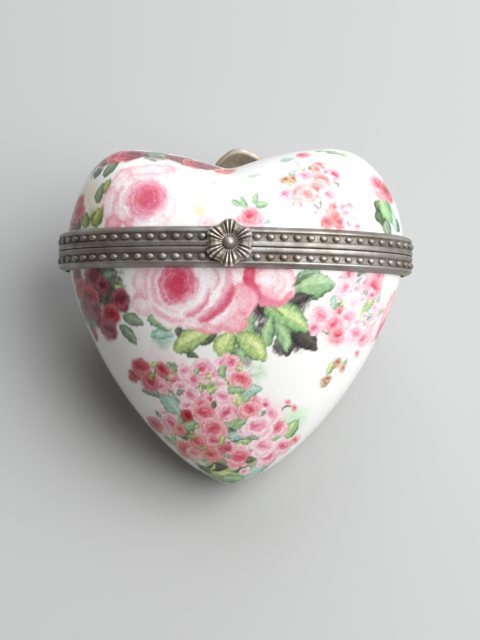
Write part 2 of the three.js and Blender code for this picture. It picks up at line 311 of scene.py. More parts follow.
# Leaves: light, middle, dark
LEAF = {
    "leaf": ((194, 218, 172), (146, 181, 140), (80, 108, 84)),
    "bright": ((222, 234, 172), (146, 187, 134), (66, 98, 72)),
    "lime": ((234, 238, 180), (168, 194, 128), (86, 112, 76)),
    "teal": ((206, 228, 218), (164, 198, 184), (108, 148, 134)),
    "moss": ((204, 206, 140), (146, 156, 100), (92, 100, 68)),
    "grey": ((178, 190, 170), (134, 150, 130), (84, 100, 86)),
    "dark": ((138, 156, 118), (92, 108, 84), (56, 64, 54)),
    "black": ((112, 108, 98), (78, 70, 72), (56, 48, 52)),
    "mist": ((232, 240, 230), (210, 224, 210), (178, 200, 182)),
}
# Single petals: middle, edge, shadow
PETAL = {
    "white": ((254, 249, 250), (250, 230, 235), (238, 188, 200)),
    "pale": ((252, 238, 240), (244, 204, 213), (230, 156, 172)),
    "pink": ((245, 200, 207), (237, 162, 175), (222, 120, 142)),
    "deep": ((228, 118, 142), (214, 86, 112), (196, 64, 94)),
    "ruby": ((190, 76, 84), (160, 48, 60), (110, 34, 44)),
}
GLAZE = np.array([0.95, 0.947, 0.937])
# Rings of a large rose: share of its radius, petals
ROSE_RINGS = ((1, 7), (0.87, 7), (0.74, 6), (0.63, 6), (0.53, 5), (0.43, 5), (0.31, 4), (0.18, 3))
# Folds of a small rose: how far out, bearing, whether it turns with the rose, half its span, width,
# depth of ink, strength
FOLDS = (
    (0.5, -1.5, 0, 1.15, 0.2, 0.2, 0.85), (0.3, 1.6, 0, 0.9, 0.13, 0.8, 0.75),
    (0.76, 0, 1, 0.75, 0.1, 2.1, 0.6), (0.8, 2.5, 1, 0.6, 0.09, 2.0, 0.55),
    (0.64, 4.2, 1, 0.7, 0.12, -0.3, 0.7),
)
# Degrees from each rose to the next, and radians between the steps of a posy
ROSE_TURN = 137.5
SEED_TURN = 2.4

# Where the print's motifs lie on the front, in millimetres and degrees: each row has its place first.
# Ground: radius, ink, strength. Leaves, petals and accents: length, width, angle, tone.
# Stems: far end, tone. Roses: radius, tone. Arcs: radius, first and last angle, width, ink.
LID_GROUND = [
    (-24.8, 5.7, 1.8, "olive", 0.6), (-22.7, 7.2, 0.9, "dark", 0.75), (-27.9, 5.1, 1.4, "dark", 0.4),
    (15.1, 7.5, 1.1, "haze", 0.6), (26.6, 7.1, 1.3, "dark", 0.85), (25.9, 8.9, 0.7, "dark", 0.7),
    (29.6, 4.9, 0.8, "dark", 0.8), (16.6, 6, 0.7, "dark", 0.6), (24.2, 7.3, 1.2, "sky", 0.9),
    (-14.3, 17.5, 2.5, "dark", 0.7), (-16.9, 17.8, 1.4, "dark", 0.7), (-25.1, 14.4, 1.1, "dark", 0.7),
    (12.7, 11, 4.2, "pink", 0.5), (16.3, 7.5, 3.3, "pink", 0.5), (20.1, 6.5, 2.5, "pink", 0.4),
    # The cream washes on the lid's left are painted warm shade, not part of the print.
    (15.6, 12.5, 3.2, "pink", 0.5), (25.9, 12, 2.2, "blush", 0.6), (-26.2, 10.3, 2.5, "cream", 0.6),
    (-24.1, 7.8, 2.1, "cream", 0.5), (-5.4, 6.9, 1.2, "peach", 0.9), (-3.6, 11.6, 1.4, "blush", 0.7),
    (-4.2, 8.9, 0.9, "blush", 0.6), (-4.3, 4.3, 1.4, "blush", 0.7), (3.8, 5.2, 2.3, "blush", 0.6),
    (14.2, 5.4, 1.7, "haze", 0.9), (12.7, 6.9, 1.4, "sky", 0.5),
]
LID_LEAVES = [
    # The moss leaves on the lid's left are the print's leaves, muted further as painted warm shade.
    (-24.2, 5.6, 3.9, 2.7, 60, "moss"), (-26.5, 5.4, 3, 2.3, 100, "moss"),
    (-28.2, 4.3, 2.9, 1.8, 70, "dark"), (-23.9, 10.2, 4.3, 1.8, 80, "grey"),
    (-22.6, 11.3, 3.2, 1.6, 72, "moss"), (-22.2, 14.8, 4.3, 2, 50, "grey"),
    (-24.9, 14.1, 2.9, 1.3, 50, "dark"), (-16.9, 17.8, 2.5, 1.1, 15, "leaf"),
    (-15.2, 17.8, 2.2, 0.9, 165, "grey"), (-12.8, 17.3, 2.5, 1.1, -12, "leaf"),
    (0.9, 7.9, 2.1, 1, 140, "leaf"), (2.2, 8.2, 2.6, 1.2, 105, "leaf"), (4.3, 8.8, 2.8, 1.2, 75, "leaf"),
    (5.4, 7.5, 2.3, 1.2, 25, "leaf"), (4, 13.2, 2.8, 0.9, 5, "mist"), (9.5, 16.6, 2.5, 1.3, 20, "teal"),
    (15.5, 18.7, 2.4, 1.1, 0, "lime"), (17.8, 18.3, 2.9, 1.4, -10, "leaf"),
    (19.6, 18, 2, 1.1, -25, "lime"), (9.6, 6.9, 2.4, 0.9, 20, "mist"), (14.2, 5.4, 3.5, 2.1, 70, "mist"),
    (27.7, 4.9, 3.6, 2.3, 120, "grey"), (29.7, 5.3, 2.9, 2.2, 105, "dark"),
    (26.4, 6.8, 3.6, 2.3, 100, "dark"), (26.2, 8.6, 2.5, 2, 60, "dark"),
    (28.8, 7.2, 5.8, 2.2, 110, "teal"), (27.5, 8.3, 6.1, 3.2, 112, "leaf"),
    (6.5, 6, 1.6, 0.7, 10, "mist"), (6.2, 4.5, 1.7, 0.9, 20, "teal"), (10, 11.5, 1.6, 0.7, 30, "lime"),
]
LID_STEMS = [
    (14, 8.4, 15.2, 7, "dark"), (15.5, 9, 15.2, 7.2, "dark"), (10.5, 17.2, 11.7, 14.1, "mist"),
    (-26, 16.1, -26, 13, "dark"), (22, 7.4, 22, 5.7, "mist"),
]
LID_PETALS = [
    (-15.5, 14.1, 10, 2.5, 0, "pale"), (-14.7, 12.2, 7.1, 2.1, 0, "white"),
    (-20.4, 11.8, 6, 3.2, 60, "pale"), (-21.9, 7.8, 6, 2.8, 95, "pale"),
    (-21.1, 4.5, 3.3, 2.8, 20, "pink"), (-18, 4.7, 3.9, 2.3, -30, "pink"),
    (-10.9, 10.8, 5.3, 3.2, -75, "white"), (-11.3, 6.9, 4.5, 3.1, 80, "white"),
    (-14.4, 4.3, 6.3, 2.6, 5, "white"), (-19.6, 6.6, 4.6, 2.6, -60, "pale"),
    (-19, 9.9, 6, 2.3, 80, "white"),
]
LID_ROSES = [
    # The wine roses along the left lobe's edges are the print's dark reds, inked deeper as painted shade on
    # that side.
    (-30.6, 3.5, 2, "red"), (-29.4, 5.2, 2.4, "wine"), (-28.6, 7.1, 2.4, "red"), (-28.3, 9, 1.4, "red"),
    (-26.5, 15.3, 2, "wine"), (-25.4, 16.8, 2.4, "red"), (-23.4, 17.1, 2.4, "wine"),
    (-21.7, 17.5, 2.4, "red"), (-19.7, 17.5, 2.4, "red"), (-18.3, 17.7, 2, "wine"),
    (-10.7, 17.1, 1.8, "wine"), (-9, 16.6, 2.3, "wine"), (-7.3, 16, 2.3, "red"),
    (-5.6, 15.7, 2.2, "wine"), (-4.1, 15.4, 1.8, "wine"), (-1.5, 14.5, 1.8, "coral"),
    (-2.5, 14.4, 1.1, "coral"), (12.3, 17.7, 1.3, "rose"), (15.2, 15.6, 0.9, "rose"),
    (14.8, 14.6, 1.1, "salmon"), (17.7, 13.9, 1.4, "pink"), (16.5, 14, 0.9, "pale"),
    (9.2, 12.3, 0.9, "brown"), (10.7, 12.5, 0.9, "brown"), (12.9, 12.9, 1.9, "pale"),
    (16.4, 11.7, 2.1, "pale"), (15.6, 12.5, 1.4, "coral"), (14.9, 10.8, 2.3, "salmon"),
    (11.8, 10.1, 2.1, "salmon"), (9.4, 9.6, 1.2, "pink"), (13.2, 9.6, 1.8, "salmon"),
    (17.3, 9.7, 2.1, "pale"), (18.3, 7.5, 1.2, "coral"), (18.3, 5.9, 1.6, "coral"),
    (19.5, 7.4, 1.2, "pink"), (20.1, 6.5, 1.1, "pink"), (20.7, 8.2, 0.6, "rose"), (16.8, 4.7, 1.2, "red"),
    (19.2, 4.7, 1.2, "red"), (20.7, 4.8, 1.1, "pale"), (22.2, 4.2, 0.9, "pink"), (26.6, 11, 1.6, "rose"),
    (26.1, 12.6, 2.4, "rose"), (27.7, 11.7, 2.2, "red"), (1.9, 4.5, 1.4, "pale"), (4.7, 4.6, 1.4, "pale"),
    (3.3, 5.6, 1.7, "rose"), (-4.2, 9, 0.9, "mist"), (-3.6, 11.6, 0.9, "mist"), (-4.3, 4.1, 1, "mist"),
    (-15.4, 8.9, 4.7, "soft"),
]
LID_ARCS = [
    (-15.3, 9.2, 3.7, 110, 195, 0.4, "blush"), (-15.1, 8.6, 2.6, 140, 220, 0.3, "blush"),
    (-15.4, 13.8, 3.9, 60, 115, 0.3, "blush"), (-18.5, 9.2, 2.1, 110, 200, 0.4, "pink"),
    (-14.9, 12.5, 4.6, 10, 60, 0.3, "pink"),
]
BASE_GROUND = [
    # The dark and black ground at the far left is the print's dark ground, made stronger as painted shade on
    # that side.
    (-22.7, -6.6, 3.9, "dark", 0.9), (-25.2, -8.5, 3, "black", 0.75), (-25.9, -11.4, 3.1, "dark", 0.8),
    (0.5, -40.3, 4.7, "olive", 0.8), (-1.4, -39.6, 2.2, "dark", 0.6), (-21.1, -9.4, 2.5, "dark", 0.7),
    (5.8, -10.4, 2.4, "black", 0.95), (6.3, -14.4, 1.7, "black", 0.9), (8.7, -11.4, 1.9, "black", 0.9),
    (11.6, -9, 2.1, "black", 0.9), (12.4, -15.5, 2.3, "black", 0.95), (9.1, -17, 1.6, "black", 0.85),
    (-8.6, -14.9, 1, "black", 0.85), (-3.3, -14.9, 1.2, "dark", 0.6), (2.7, -19, 1.8, "dark", 0.5),
    (-3.4, -26.5, 4.9, "blush", 0.75), (-11.6, -23.1, 4.3, "blush", 0.7), (5.7, -31, 4.6, "blush", 0.75),
    (20.3, -12.4, 4.6, "blush", 0.95), (22.6, -7.1, 4.8, "blush", 0.9), (26.3, -12.4, 3.6, "pink", 0.8),
    (-3.5, -34.9, 4.7, "blush", 0.7), (-11.2, -31.4, 3.2, "blush", 0.6), (3.2, -35.9, 4.3, "blush", 0.6),
    (11.7, -29.7, 2.2, "mint", 0.7), (11.1, -31.8, 2, "haze", 0.8), (-11.9, -16, 1.8, "teal", 0.7),
    (-0.7, -39.1, 3.6, "olive", 0.8), (-4.7, -38.4, 2.2, "olive", 0.7), (-7.4, -31, 1.6, "dark", 0.7),
    (-2.3, -24.6, 2.5, "olive", 0.6), (0.7, -31.8, 2.1, "dark", 0.55), (5, -21.6, 1.6, "haze", 0.8),
    (-11, -33.8, 1.6, "olive", 0.5), (29.8, -6.6, 1.5, "mint", 0.6), (-8.3, -33, 1.4, "dark", 0.6),
]
BASE_LEAVES = [
    (14.4, -6.6, 8.7, 5.2, 10, "leaf"), (12, -9, 5.9, 1.9, 20, "black"),
    (5.8, -10.4, 4.5, 2.4, -60, "black"), (13.3, -16, 6, 3.5, -38, "black"),
    (10.2, -17, 4.2, 2.1, -95, "black"), (10.2, -12.4, 9.4, 4.4, -28, "bright"),
    (7.1, -14.4, 5.9, 2.1, 82, "leaf"), (9.3, -15.5, 6, 2.5, -68, "leaf"),
    (3.4, -14.4, 5.9, 3.1, 78, "leaf"), (4, -17.5, 7, 4.2, -42, "lime"),
    (-0.4, -17, 5.2, 3.8, 60, "lime"), (-3.7, -16, 3.8, 2.1, 35, "dark"),
    (-6.4, -16.5, 7.7, 3.5, 28, "lime"), (-12.4, -13.4, 5.3, 2.3, -25, "leaf"),
    (-12, -15.5, 4.6, 1.8, 5, "teal"), (1.9, -19, 3.1, 1.7, -70, "leaf"),
    (-21.5, -4.9, 3.5, 1.6, 10, "grey"), (-19.6, -7.5, 2.5, 1.4, -40, "lime"),
    (-18.4, -9.9, 3.5, 1.2, 80, "lime"), (-22.2, -7.5, 3.5, 1.9, 70, "dark"),
    (-17.3, -12.9, 4.6, 2.1, -15, "grey"), (-18.1, -15.5, 4.6, 2.1, -46, "grey"),
    (-25.9, -11.9, 2.5, 1.4, -60, "dark"), (-24, -4.9, 2.5, 1.4, -30, "dark"),
    (18.8, -9.4, 2.5, 1.6, 80, "leaf"), (24.9, -9, 4.7, 1.8, 45, "lime"),
    (26.3, -8, 2.9, 1.3, 60, "teal"), (24.7, -10.9, 3.2, 1.8, 30, "teal"),
    (23.2, -12.4, 2.1, 1.4, 20, "mist"), (17.3, -13.9, 2.5, 1.6, 10, "leaf"),
    (22.9, -4, 2.1, 0.9, 0, "grey"), (29.9, -6.2, 2.6, 0.7, 62, "teal"),
    (18, -20.6, 2.9, 1.1, 55, "lime"), (20.5, -19.6, 1.6, 0.9, 70, "leaf"),
    (17, -23.6, 1.8, 1.1, 20, "leaf"), (-9.8, -21.6, 3.2, 2.3, 85, "grey"),
    (-13.3, -20.6, 2.1, 1.2, 30, "lime"), (-3.4, -23.6, 7, 2.8, -8, "lime"),
    (-0.7, -24.6, 4.9, 2.5, -25, "lime"), (1.2, -26.9, 5.7, 3, -62, "lime"),
    (3.9, -25, 3.9, 2.6, 20, "teal"), (4.7, -21.6, 2.8, 1.6, 10, "mist"),
    (-5.8, -23.6, 2.5, 1.4, 60, "leaf"), (-13.6, -26, 5.4, 1.4, -8, "grey"),
    (-10.4, -28.3, 6.1, 3.2, -50, "teal"), (1, -31, 6.1, 4.3, 70, "leaf"),
    (-0.2, -31.8, 3.6, 1.4, 150, "dark"), (1.1, -33.4, 4.3, 2.5, 20, "teal"),
    (-7, -31.4, 3.6, 2.1, 30, "leaf"), (-8.1, -33.4, 3.6, 1.6, -30, "dark"),
    (-11, -33.8, 4.7, 2.2, -50, "leaf"), (3.7, -34.2, 5.4, 1.4, 12, "lime"),
    (11.1, -31.8, 4.3, 2.9, 60, "bright"), (-3.7, -38.9, 6.2, 3.3, -18, "leaf"),
    (1.8, -40.6, 6.6, 3.3, 15, "leaf"), (-0.8, -40.8, 6.9, 3.3, -10, "lime"),
    (-2, -39.1, 4, 2, 5, "black"), (5, -39.6, 6.6, 3.3, 34, "teal"), (2.1, -39.1, 3.6, 1.6, 20, "dark"),
    (-4.7, -39.6, 2.9, 1.6, -30, "dark"), (7.2, -38.1, 3.3, 1.6, 42, "leaf"),
    (-4.5, -40.8, 4.1, 2.2, -30, "leaf"), (3.5, -41.1, 4.4, 2.6, 30, "teal"),
    (0.3, -41.4, 4.8, 2.6, 0, "leaf"), (0.5, -39.4, 2.5, 1.3, 10, "lime"),
    (-5.9, -38.1, 3.6, 1.6, -25, "mist"), (-6.5, -19, 2.5, 1.2, -10, "dark"),
]
BASE_STEMS = [
    (-10.9, -25, -8.5, -27.9, "dark"), (9.2, -28.8, 10.3, -27.4, "dark"),
    (9.8, -27.9, 11.3, -27.9, "dark"), (-1.1, -21.6, -0.3, -24.1, "leaf"),
    (17.8, -21.6, 19.6, -19.6, "leaf"), (5.8, -9.9, 9.5, -11.9, "lime"), (9.9, -9, 12.2, -7.5, "lime"),
    (-0.2, -34.5, 3.2, -33.8, "dark"), (3.6, -35.6, 4.1, -37.8, "dark"),
]
BASE_PETALS = [
    (7, -6.2, 8.7, 8, -20, "pink"), (9.3, -6.2, 4.2, 5.6, 10, "pale"), (6.6, -5.3, 4.2, 3.5, 0, "pale"),
    (0.9, -6.2, 3.5, 5.2, 0, "pale"), (3.3, -4.9, 2.8, 1.9, 80, "deep"),
    (4.2, -7.1, 4.2, 1.4, 125, "deep"), (1.4, -9.9, 7.6, 5.9, 40, "pink"),
    (-0.4, -12.4, 7.3, 4.5, -20, "pink"), (-3.8, -13.9, 4.9, 2.4, -6, "pink"),
    (-7.7, -12.9, 7, 2.4, -10, "pale"), (-11.5, -11.9, 5.6, 3.5, -42, "white"),
    (-15.4, -9.9, 4.2, 3.9, 80, "pale"), (-14.9, -6.2, 4.5, 4.9, 90, "pale"),
    (-13.2, -9.4, 5.9, 3.5, 120, "white"), (-1.8, -8.5, 8.7, 5.2, -60, "pale"),
    (-3.7, -9, 9.4, 5.9, -58, "white"), (-4.7, -5.3, 5.2, 5.2, 80, "white"),
    (-10, -10.9, 7, 3.1, -10, "white"), (28.6, -9, 5.5, 2.4, 62, "pale"),
    (26.4, -12.9, 5.8, 2.9, 60, "pale"), (28.1, -10.4, 7.3, 2.7, 60, "pink"),
    (26.9, -13.4, 3.7, 1.1, 58, "deep"), (24.3, -15.5, 2.2, 1.4, 40, "pale"),
    (-25.2, -14.9, 2.9, 1.6, -65, "ruby"),
]
BASE_ROSES = [
    # The ruby and wine roses at the far left are the print's reds, inked deeper as painted shade on that
    # side.
    (-9.7, -6.2, 4.7, "grand"), (-28.4, -4.9, 1.8, "wine"), (-27.7, -7.1, 2.3, "ruby"),
    (-25, -5.3, 2.1, "wine"), (-25.7, -8.5, 2.5, "ruby"), (-23, -6.6, 1.6, "wine"),
    (-26.9, -10.4, 2, "wine"), (-24.7, -10.9, 1.8, "wine"), (-19.5, -9.4, 2.1, "wine"),
    (-21.6, -11.9, 2.1, "ruby"), (-22, -14.4, 2, "wine"), (-23.8, -12.9, 1.3, "wine"),
    (19.4, -4.9, 1.1, "pale"), (20.6, -4, 0.9, "pink"), (20.1, -6.6, 1.8, "pale"),
    (22.4, -6.6, 1.2, "pale"), (23.9, -5.3, 1.2, "pale"), (26.3, -4, 1.4, "pink"),
    (25.4, -6.2, 2, "rose"), (23.2, -8.5, 1.2, "pale"), (25, -7.5, 1.1, "pink"),
    (21.7, -9.4, 2.1, "mist"), (15.8, -11.9, 2.3, "pale"), (19.1, -10.9, 1.1, "rose"),
    (21, -11.9, 1.8, "pale"), (18.3, -12.9, 1.9, "pink"), (22.4, -13.4, 1.4, "pink"),
    (18.9, -14.9, 1.6, "rose"), (22, -14.4, 2, "pale"), (14.9, -13.9, 1.2, "pink"),
    (23.7, -15.5, 1.4, "pink"), (22.6, -18, 0.6, "rose"), (19.2, -19.6, 0.9, "brown"),
    (20, -20.6, 0.7, "brown"), (16.8, -23.1, 0.9, "brown"), (17.5, -22.6, 0.7, "brown"),
    (-17.5, -22.6, 1.3, "ruby"), (-16, -21.1, 1.9, "red"), (-11.8, -21.6, 1.4, "red"),
    (-12.2, -24.6, 1.3, "pink"), (-14.4, -23.6, 1.9, "red"), (-9.9, -23.6, 1.4, "rose"),
    (-8.7, -24.6, 1.4, "pale"), (-6.5, -23.1, 1.4, "pink"), (-7.8, -21.6, 1.5, "pale"),
    (-2.9, -22.1, 1.4, "pale"), (-4.7, -21.1, 1.9, "pink"), (-1.5, -20.1, 1.2, "pale"),
    (0.4, -20.1, 1.8, "pink"), (0.7, -22.6, 1.2, "pale"), (2.1, -23.1, 2, "rose"), (-5, -26, 1.6, "pale"),
    (-6.8, -26, 2, "pale"), (-3.1, -26.5, 1.4, "pink"), (-1.3, -26, 1.9, "pale"),
    (-7.7, -27.9, 1.4, "pale"), (-5, -27.4, 1.2, "rose"), (-7.6, -29.7, 1.3, "ruby"),
    (-4.4, -29.2, 2.3, "rose"), (-0.3, -28.8, 1.9, "pink"), (4.5, -26.9, 1.1, "rose"),
    (6.2, -27.4, 1.2, "pink"), (3.5, -28.3, 2, "rose"), (8.7, -31.8, 1.9, "pink"),
    (7.3, -29.2, 2, "pale"), (5.1, -31.4, 2.7, "pale"), (-13.8, -31.4, 1.8, "red"),
    (-10.6, -31, 2.1, "pink"), (-9.1, -32.2, 1.4, "coral"), (-2.8, -32.2, 2.7, "rose"),
    (-8.4, -35.9, 2.1, "coral"), (-6.4, -36.6, 1.6, "salmon"), (-5.7, -34.5, 1.9, "coral"),
    (-2.7, -34.2, 1.6, "rose"), (-3.4, -36.6, 1.9, "coral"), (-0.6, -35.6, 1.3, "red"),
    (1.5, -37.2, 2.5, "rose"), (7, -37.2, 1.8, "pink"), (6, -35.2, 2.4, "pale"),
    (9.7, -35.2, 1.9, "pink"), (11.7, -33.8, 1.1, "rose"), (10.4, -26.9, 0.6, "rose"),
    (11.5, -27.9, 0.6, "rose"),
]
BASE_ACCENTS = [
    (-8.7, -25.5, 1.9, 0.9, 30, "grey"), (-2.7, -27.4, 1.6, 0.7, 80, "dark"),
    (2.3, -30.5, 2.3, 1.1, 30, "leaf"), (-6.8, -33.4, 2.2, 0.9, 10, "moss"),
    (-1.3, -33.8, 2.3, 1.1, 70, "lime"), (4.3, -33.4, 2.3, 0.9, 0, "grey"),
    (-5.7, -21.6, 1.6, 0.9, 60, "leaf"), (-13.8, -22.6, 1.6, 0.9, 60, "moss"),
    (-1.1, -21.6, 2.5, 1.4, 80, "leaf"), (1.3, -25, 3.2, 1.6, 10, "leaf"),
    (-2.9, -25, 2.1, 1.1, 40, "lime"), (3.1, -26.5, 1.9, 0.9, 40, "leaf"),
    (12.9, -5.3, 4.5, 0.7, 30, "dark"), (-11, -23.1, 1.6, 0.7, -40, "moss"),
    (-4.9, -24.6, 1.6, 0.7, 100, "lime"), (-0.3, -31, 1.6, 0.9, -50, "leaf"),
    (-8.7, -30.5, 1.6, 0.7, 60, "leaf"), (-4.7, -35.6, 1.8, 0.9, 20, "moss"),
    (-0.3, -36.9, 1.6, 0.7, -20, "grey"), (8.4, -33.4, 1.8, 0.9, 30, "leaf"),
    (-3.5, -22.6, 1.4, 0.9, 30, "lime"), (1.8, -21.1, 1.6, 0.9, -20, "lime"),
    (6.1, -28.8, 1.4, 0.7, 60, "grey"), (3.8, -37.5, 2.2, 1.1, 20, "dark"),
]
BASE_ARCS = [
    (-7.6, -4.9, 6.2, -80, 20, 1, "white"), (-8.8, -6.6, 4.5, -60, 60, 1, "white"),
    (-7.6, -4.9, 7.5, -66, 12, 1.4, "pink"), (-7.6, -4.9, 7.8, -74, -6, 1.4, "pink"),
    (-7.6, -4.9, 8.2, -76, -10, 1.2, "rose"), (-7.6, -4.9, 8.6, -74, -13, 0.9, "crimson"),
    (-8.8, -6.6, 5.2, -84, -4, 0.9, "pink"), (-8.8, -6.6, 5.6, -78, -12, 0.7, "rose"),
    (-8.8, -6.6, 4.7, -150, -90, 0.7, "blush"), (-8.8, -6.6, 5, 145, 230, 0.9, "pink"),
    (-8.8, -6.6, 4.2, 120, 240, 0.5, "white"), (-8.8, -6.6, 6.3, 140, 210, 0.5, "pink"),
    (-8.8, -6.6, 6.3, -145, -80, 0.9, "pink"), (-8.8, -6.6, 3, 150, 250, 0.3, "blush"),
    (-8.8, -6.6, 3, -60, 20, 0.3, "blush"), (-15.8, -9.9, 1.4, 20, 150, 0.9, "pink"),
    (7.5, -6.2, 3.5, -130, -20, 0.9, "rose"), (0.5, -9, 3.8, -70, 20, 0.4, "blush"),
    (-7.6, -4.9, 10.1, -60, -20, 0.5, "blush"), (7.4, -6.6, 2.4, 170, 280, 0.7, "rose"),
    (7.9, -6.2, 1.7, -80, 30, 0.5, "pink"), (-4.2, -5.7, 2.3, -60, 60, 0.5, "pink"),
]
# Posies on the hidden sides: place, size, seed of their random draws
LID_SPRAYS = [
    (-17, 11, 5.5, 5), (12, 8, 4.2, 6), (27, 5, 3.4, 7), (-28, 5, 3, 8), (3, 13, 3, 9),
]
BASE_SPRAYS = [
    (-15, -9, 6.5, 1), (13, -16, 5.5, 2), (-4, -28, 5, 3), (27, -6, 3.5, 4), (2, -8, 3.5, 10),
    (-26, -8, 3, 14),
]
LID_PRINT = (
    LID_GROUND, LID_LEAVES, LID_STEMS, LID_PETALS, LID_ROSES, [], LID_ARCS, LID_SPRAYS, 1.22,
)
BASE_PRINT = (
    BASE_GROUND, BASE_LEAVES, BASE_STEMS, BASE_PETALS, BASE_ROSES, BASE_ACCENTS, BASE_ARCS,
    BASE_SPRAYS, 1.1,
)


# Painting

# How far a point may turn away from a motif's plane and still take its ink, as a cosine
EDGE_ON = 0.12
# Where a motif's plane faces so far sideways, its across runs round the side instead
SIDEWAYS = 0.9
# Beyond the size of the box, to rule the other side's points out
FAR = 999
# Blots at least so wide are filled with small growth, paler to the right of this place
THICK_SPRAY = 2.4
PALE_FROM = 12
BEHIND = -1


def new_canvas(points, normals):
    """The print in the making: one colour and one ink cover for each point of a shell's outside."""
    bend = np.stack([waves(points, 2.4, seed) for seed in (11, 12, 13)], 1) * 0.12
    fine = np.stack([waves(points, 0.8, seed) for seed in (21, 22, 23)], 1) * 0.08
    return {
        "points": points,
        "drawn": points + bend + fine,
        "normals": normals,
        "colour": np.tile(GLAZE, (len(points), 1)),
        "cover": np.zeros(len(points)),
        "mottle": waves(points, 1.5, 31) * 0.5 + waves(points, 0.6, 32) * 0.5,
    }


def window(canvas, x, y, reach, side=1):
    """Indices of the points near a place, and where they lie across and up from it.

    A motif on the front is drawn on a plane that leans halfway from the surface to the front view.
    """
    points, normals = canvas["points"], canvas["normals"]
    hidden = points[:, 2] * side < -0.5
    nearest = int(np.argmin(np.hypot(points[:, 0] - x, points[:, 1] - y) + hidden * FAR))
    normal = normals[nearest]
    if side > 0:
        normal = unit(normal + FRONT)
    sideways = abs(normal[0]) > SIDEWAYS
    across = unit(np.cross(UP, normal) if sideways else (ACROSS - normal * normal[0]) * side)
    offset = canvas["drawn"] - points[nearest]
    u, v = offset @ across, offset @ np.cross(normal, across)
    near = np.nonzero((u * u + v * v < reach * reach) & (normals @ normal > EDGE_ON))[0]
    return near, u[near], v[near]


def lay(canvas, near, colour, strength):
    """Lays ink over what is there."""
    ink = np.asarray(colour, float) / 255
    old = canvas["colour"][near]
    canvas["colour"][near] = old + (ink - old) * strength[:, None]
    canvas["cover"][near] = np.maximum(canvas["cover"][near], strength)


def blend(inks, depth):
    """Colours part of the way along a row of inks, with 0 for the first."""
    inks = np.asarray(inks, float)
    depth = np.clip(depth, 0, len(inks) - 1.001)
    low = depth.astype(int)
    return inks[low] + (inks[low + 1] - inks[low]) * (depth - low)[:, None]


def inside(distance, softness):
    """Full inside a shape, where the signed distance is negative, fading over softness."""
    return np.clip(0.5 - distance / softness, 0, 1)


def oval(u, v, across, up, wide, tall):
    """Signed distance from an oval's edge, about right near the edge."""
    return (np.hypot((u - across) / wide, (v - up) / tall) - 1) * min(wide, tall)


def crescent(u, v, radius, middle, half, width):
    """Signed distance from a curved mark, thick in its middle, round a centre."""
    bearing = np.mod(np.arctan2(v, u) - middle + math.pi, FULL_TURN) - math.pi
    taper = fall(bearing / half, 2.5)
    past_ends = taper < 0.02
    return np.abs(np.hypot(u, v) - radius) - width / 2 * taper + 9 * past_ends


def blot(canvas, x, y, radius, ink, strength, side=1):
    """A soft patch of colour, crisper where it is dark."""
    near, u, v = window(canvas, x, y, radius * 1.8, side)
    mottle = canvas["mottle"][near]
    distance = np.hypot(u, v) - radius * (1 + 0.22 * mottle)
    soft = radius * (0.45 if ink in ("black", "dark") else 0.9)
    cover = strength * inside(distance, soft) * (0.85 + 0.15 * mottle)
    lay(canvas, near, INK[ink], np.clip(cover, 0, 1))


def petal_ring(canvas, near, u, v, radius, reach, petals, turn, tone, depth):
    """A ring of scalloped petals, lighter at their edges and deeper where they tuck in."""
    petal = (np.arctan2(v, u) - turn) * petals / FULL_TURN
    seam = np.abs(2 * np.mod(petal, 1) - 1)
    which = np.mod(np.floor(petal), petals)
    swell = 0.07 * np.sin(which * 2.4 + turn * 5)
    distance = np.hypot(u, v) - reach * radius * (1 + swell - 0.2 * seam**3)
    inward = np.clip(-distance / (0.42 * reach * radius), 0, 1)
    light = 0.3 * (u * -0.35 + v * 0.94) / (reach * radius)
    tint = depth + 1.1 * inward**0.8 + 0.6 * seam**6 - light + 0.3 * np.sin(which * 3.7 + turn * 9)
    tint = tint - 0.35 * (inward < 0.14) + 0.3 * canvas["mottle"][near]
    shadow = blend(ROSE[tone], np.full(len(near), depth + 1.5))
    lay(canvas, near, shadow, 0.45 * inside(distance - 0.12, 0.3))
    lay(canvas, near, blend(ROSE[tone], tint), inside(distance, 0.22))


def cupped_rose(canvas, x, y, radius, tone, turn, side):
    """A small open rose: soft scalloped petals round a deep heart, with pale folds across it."""
    near, u, v = window(canvas, x, y, radius * 1.4, side)
    start = math.radians(turn)
    u, v = turned(u, v, 0.7 * math.sin(start * 1.7 + x))
    mottle = canvas["mottle"][near]
    under = np.hypot(u, v + 0.1 * radius) - radius
    lay(canvas, near, SHADE[tone], 0.3 * inside(under, 0.4 * radius))
    petal_ring(canvas, near, u, v, radius, 1, 5, start, tone, -0.15)
    if radius > 1.2:
        petal_ring(canvas, near, u, v - 0.05 * radius, radius, 0.74, 4, start + 0.6, tone, 0.4)
    size = radius * (1 + 0.22 * math.sin(start * 5 + y))
    across, up = 0.16 * radius * math.cos(start * 3), radius * (0.08 + 0.12 * math.sin(start * 3))
    heart = oval(u, v, across, up, 0.46 * size, 0.36 * size)
    cover = inside(heart + 0.2 * radius * mottle, 0.36 * radius)
    lay(canvas, near, blend(ROSE[tone], 1.9 + 0.6 * mottle), 0.95 * cover)
    core = oval(u, v, across - 0.06 * radius, up + 0.04 * radius, 0.25 * size, 0.16 * size)
    lay(canvas, near, blend(ROSE[tone], 2.9 + 0 * u), 0.8 * inside(core, 0.25 * radius))
    for away, bearing, follows, half, width, depth, strength in FOLDS:
        middle = bearing + follows * start
        mark = crescent(u, v - 0.05 * radius, away * radius, middle, half, width * radius)
        lay(canvas, near, blend(ROSE[tone], depth + 0.4 * mottle), strength * inside(mark, 0.16))


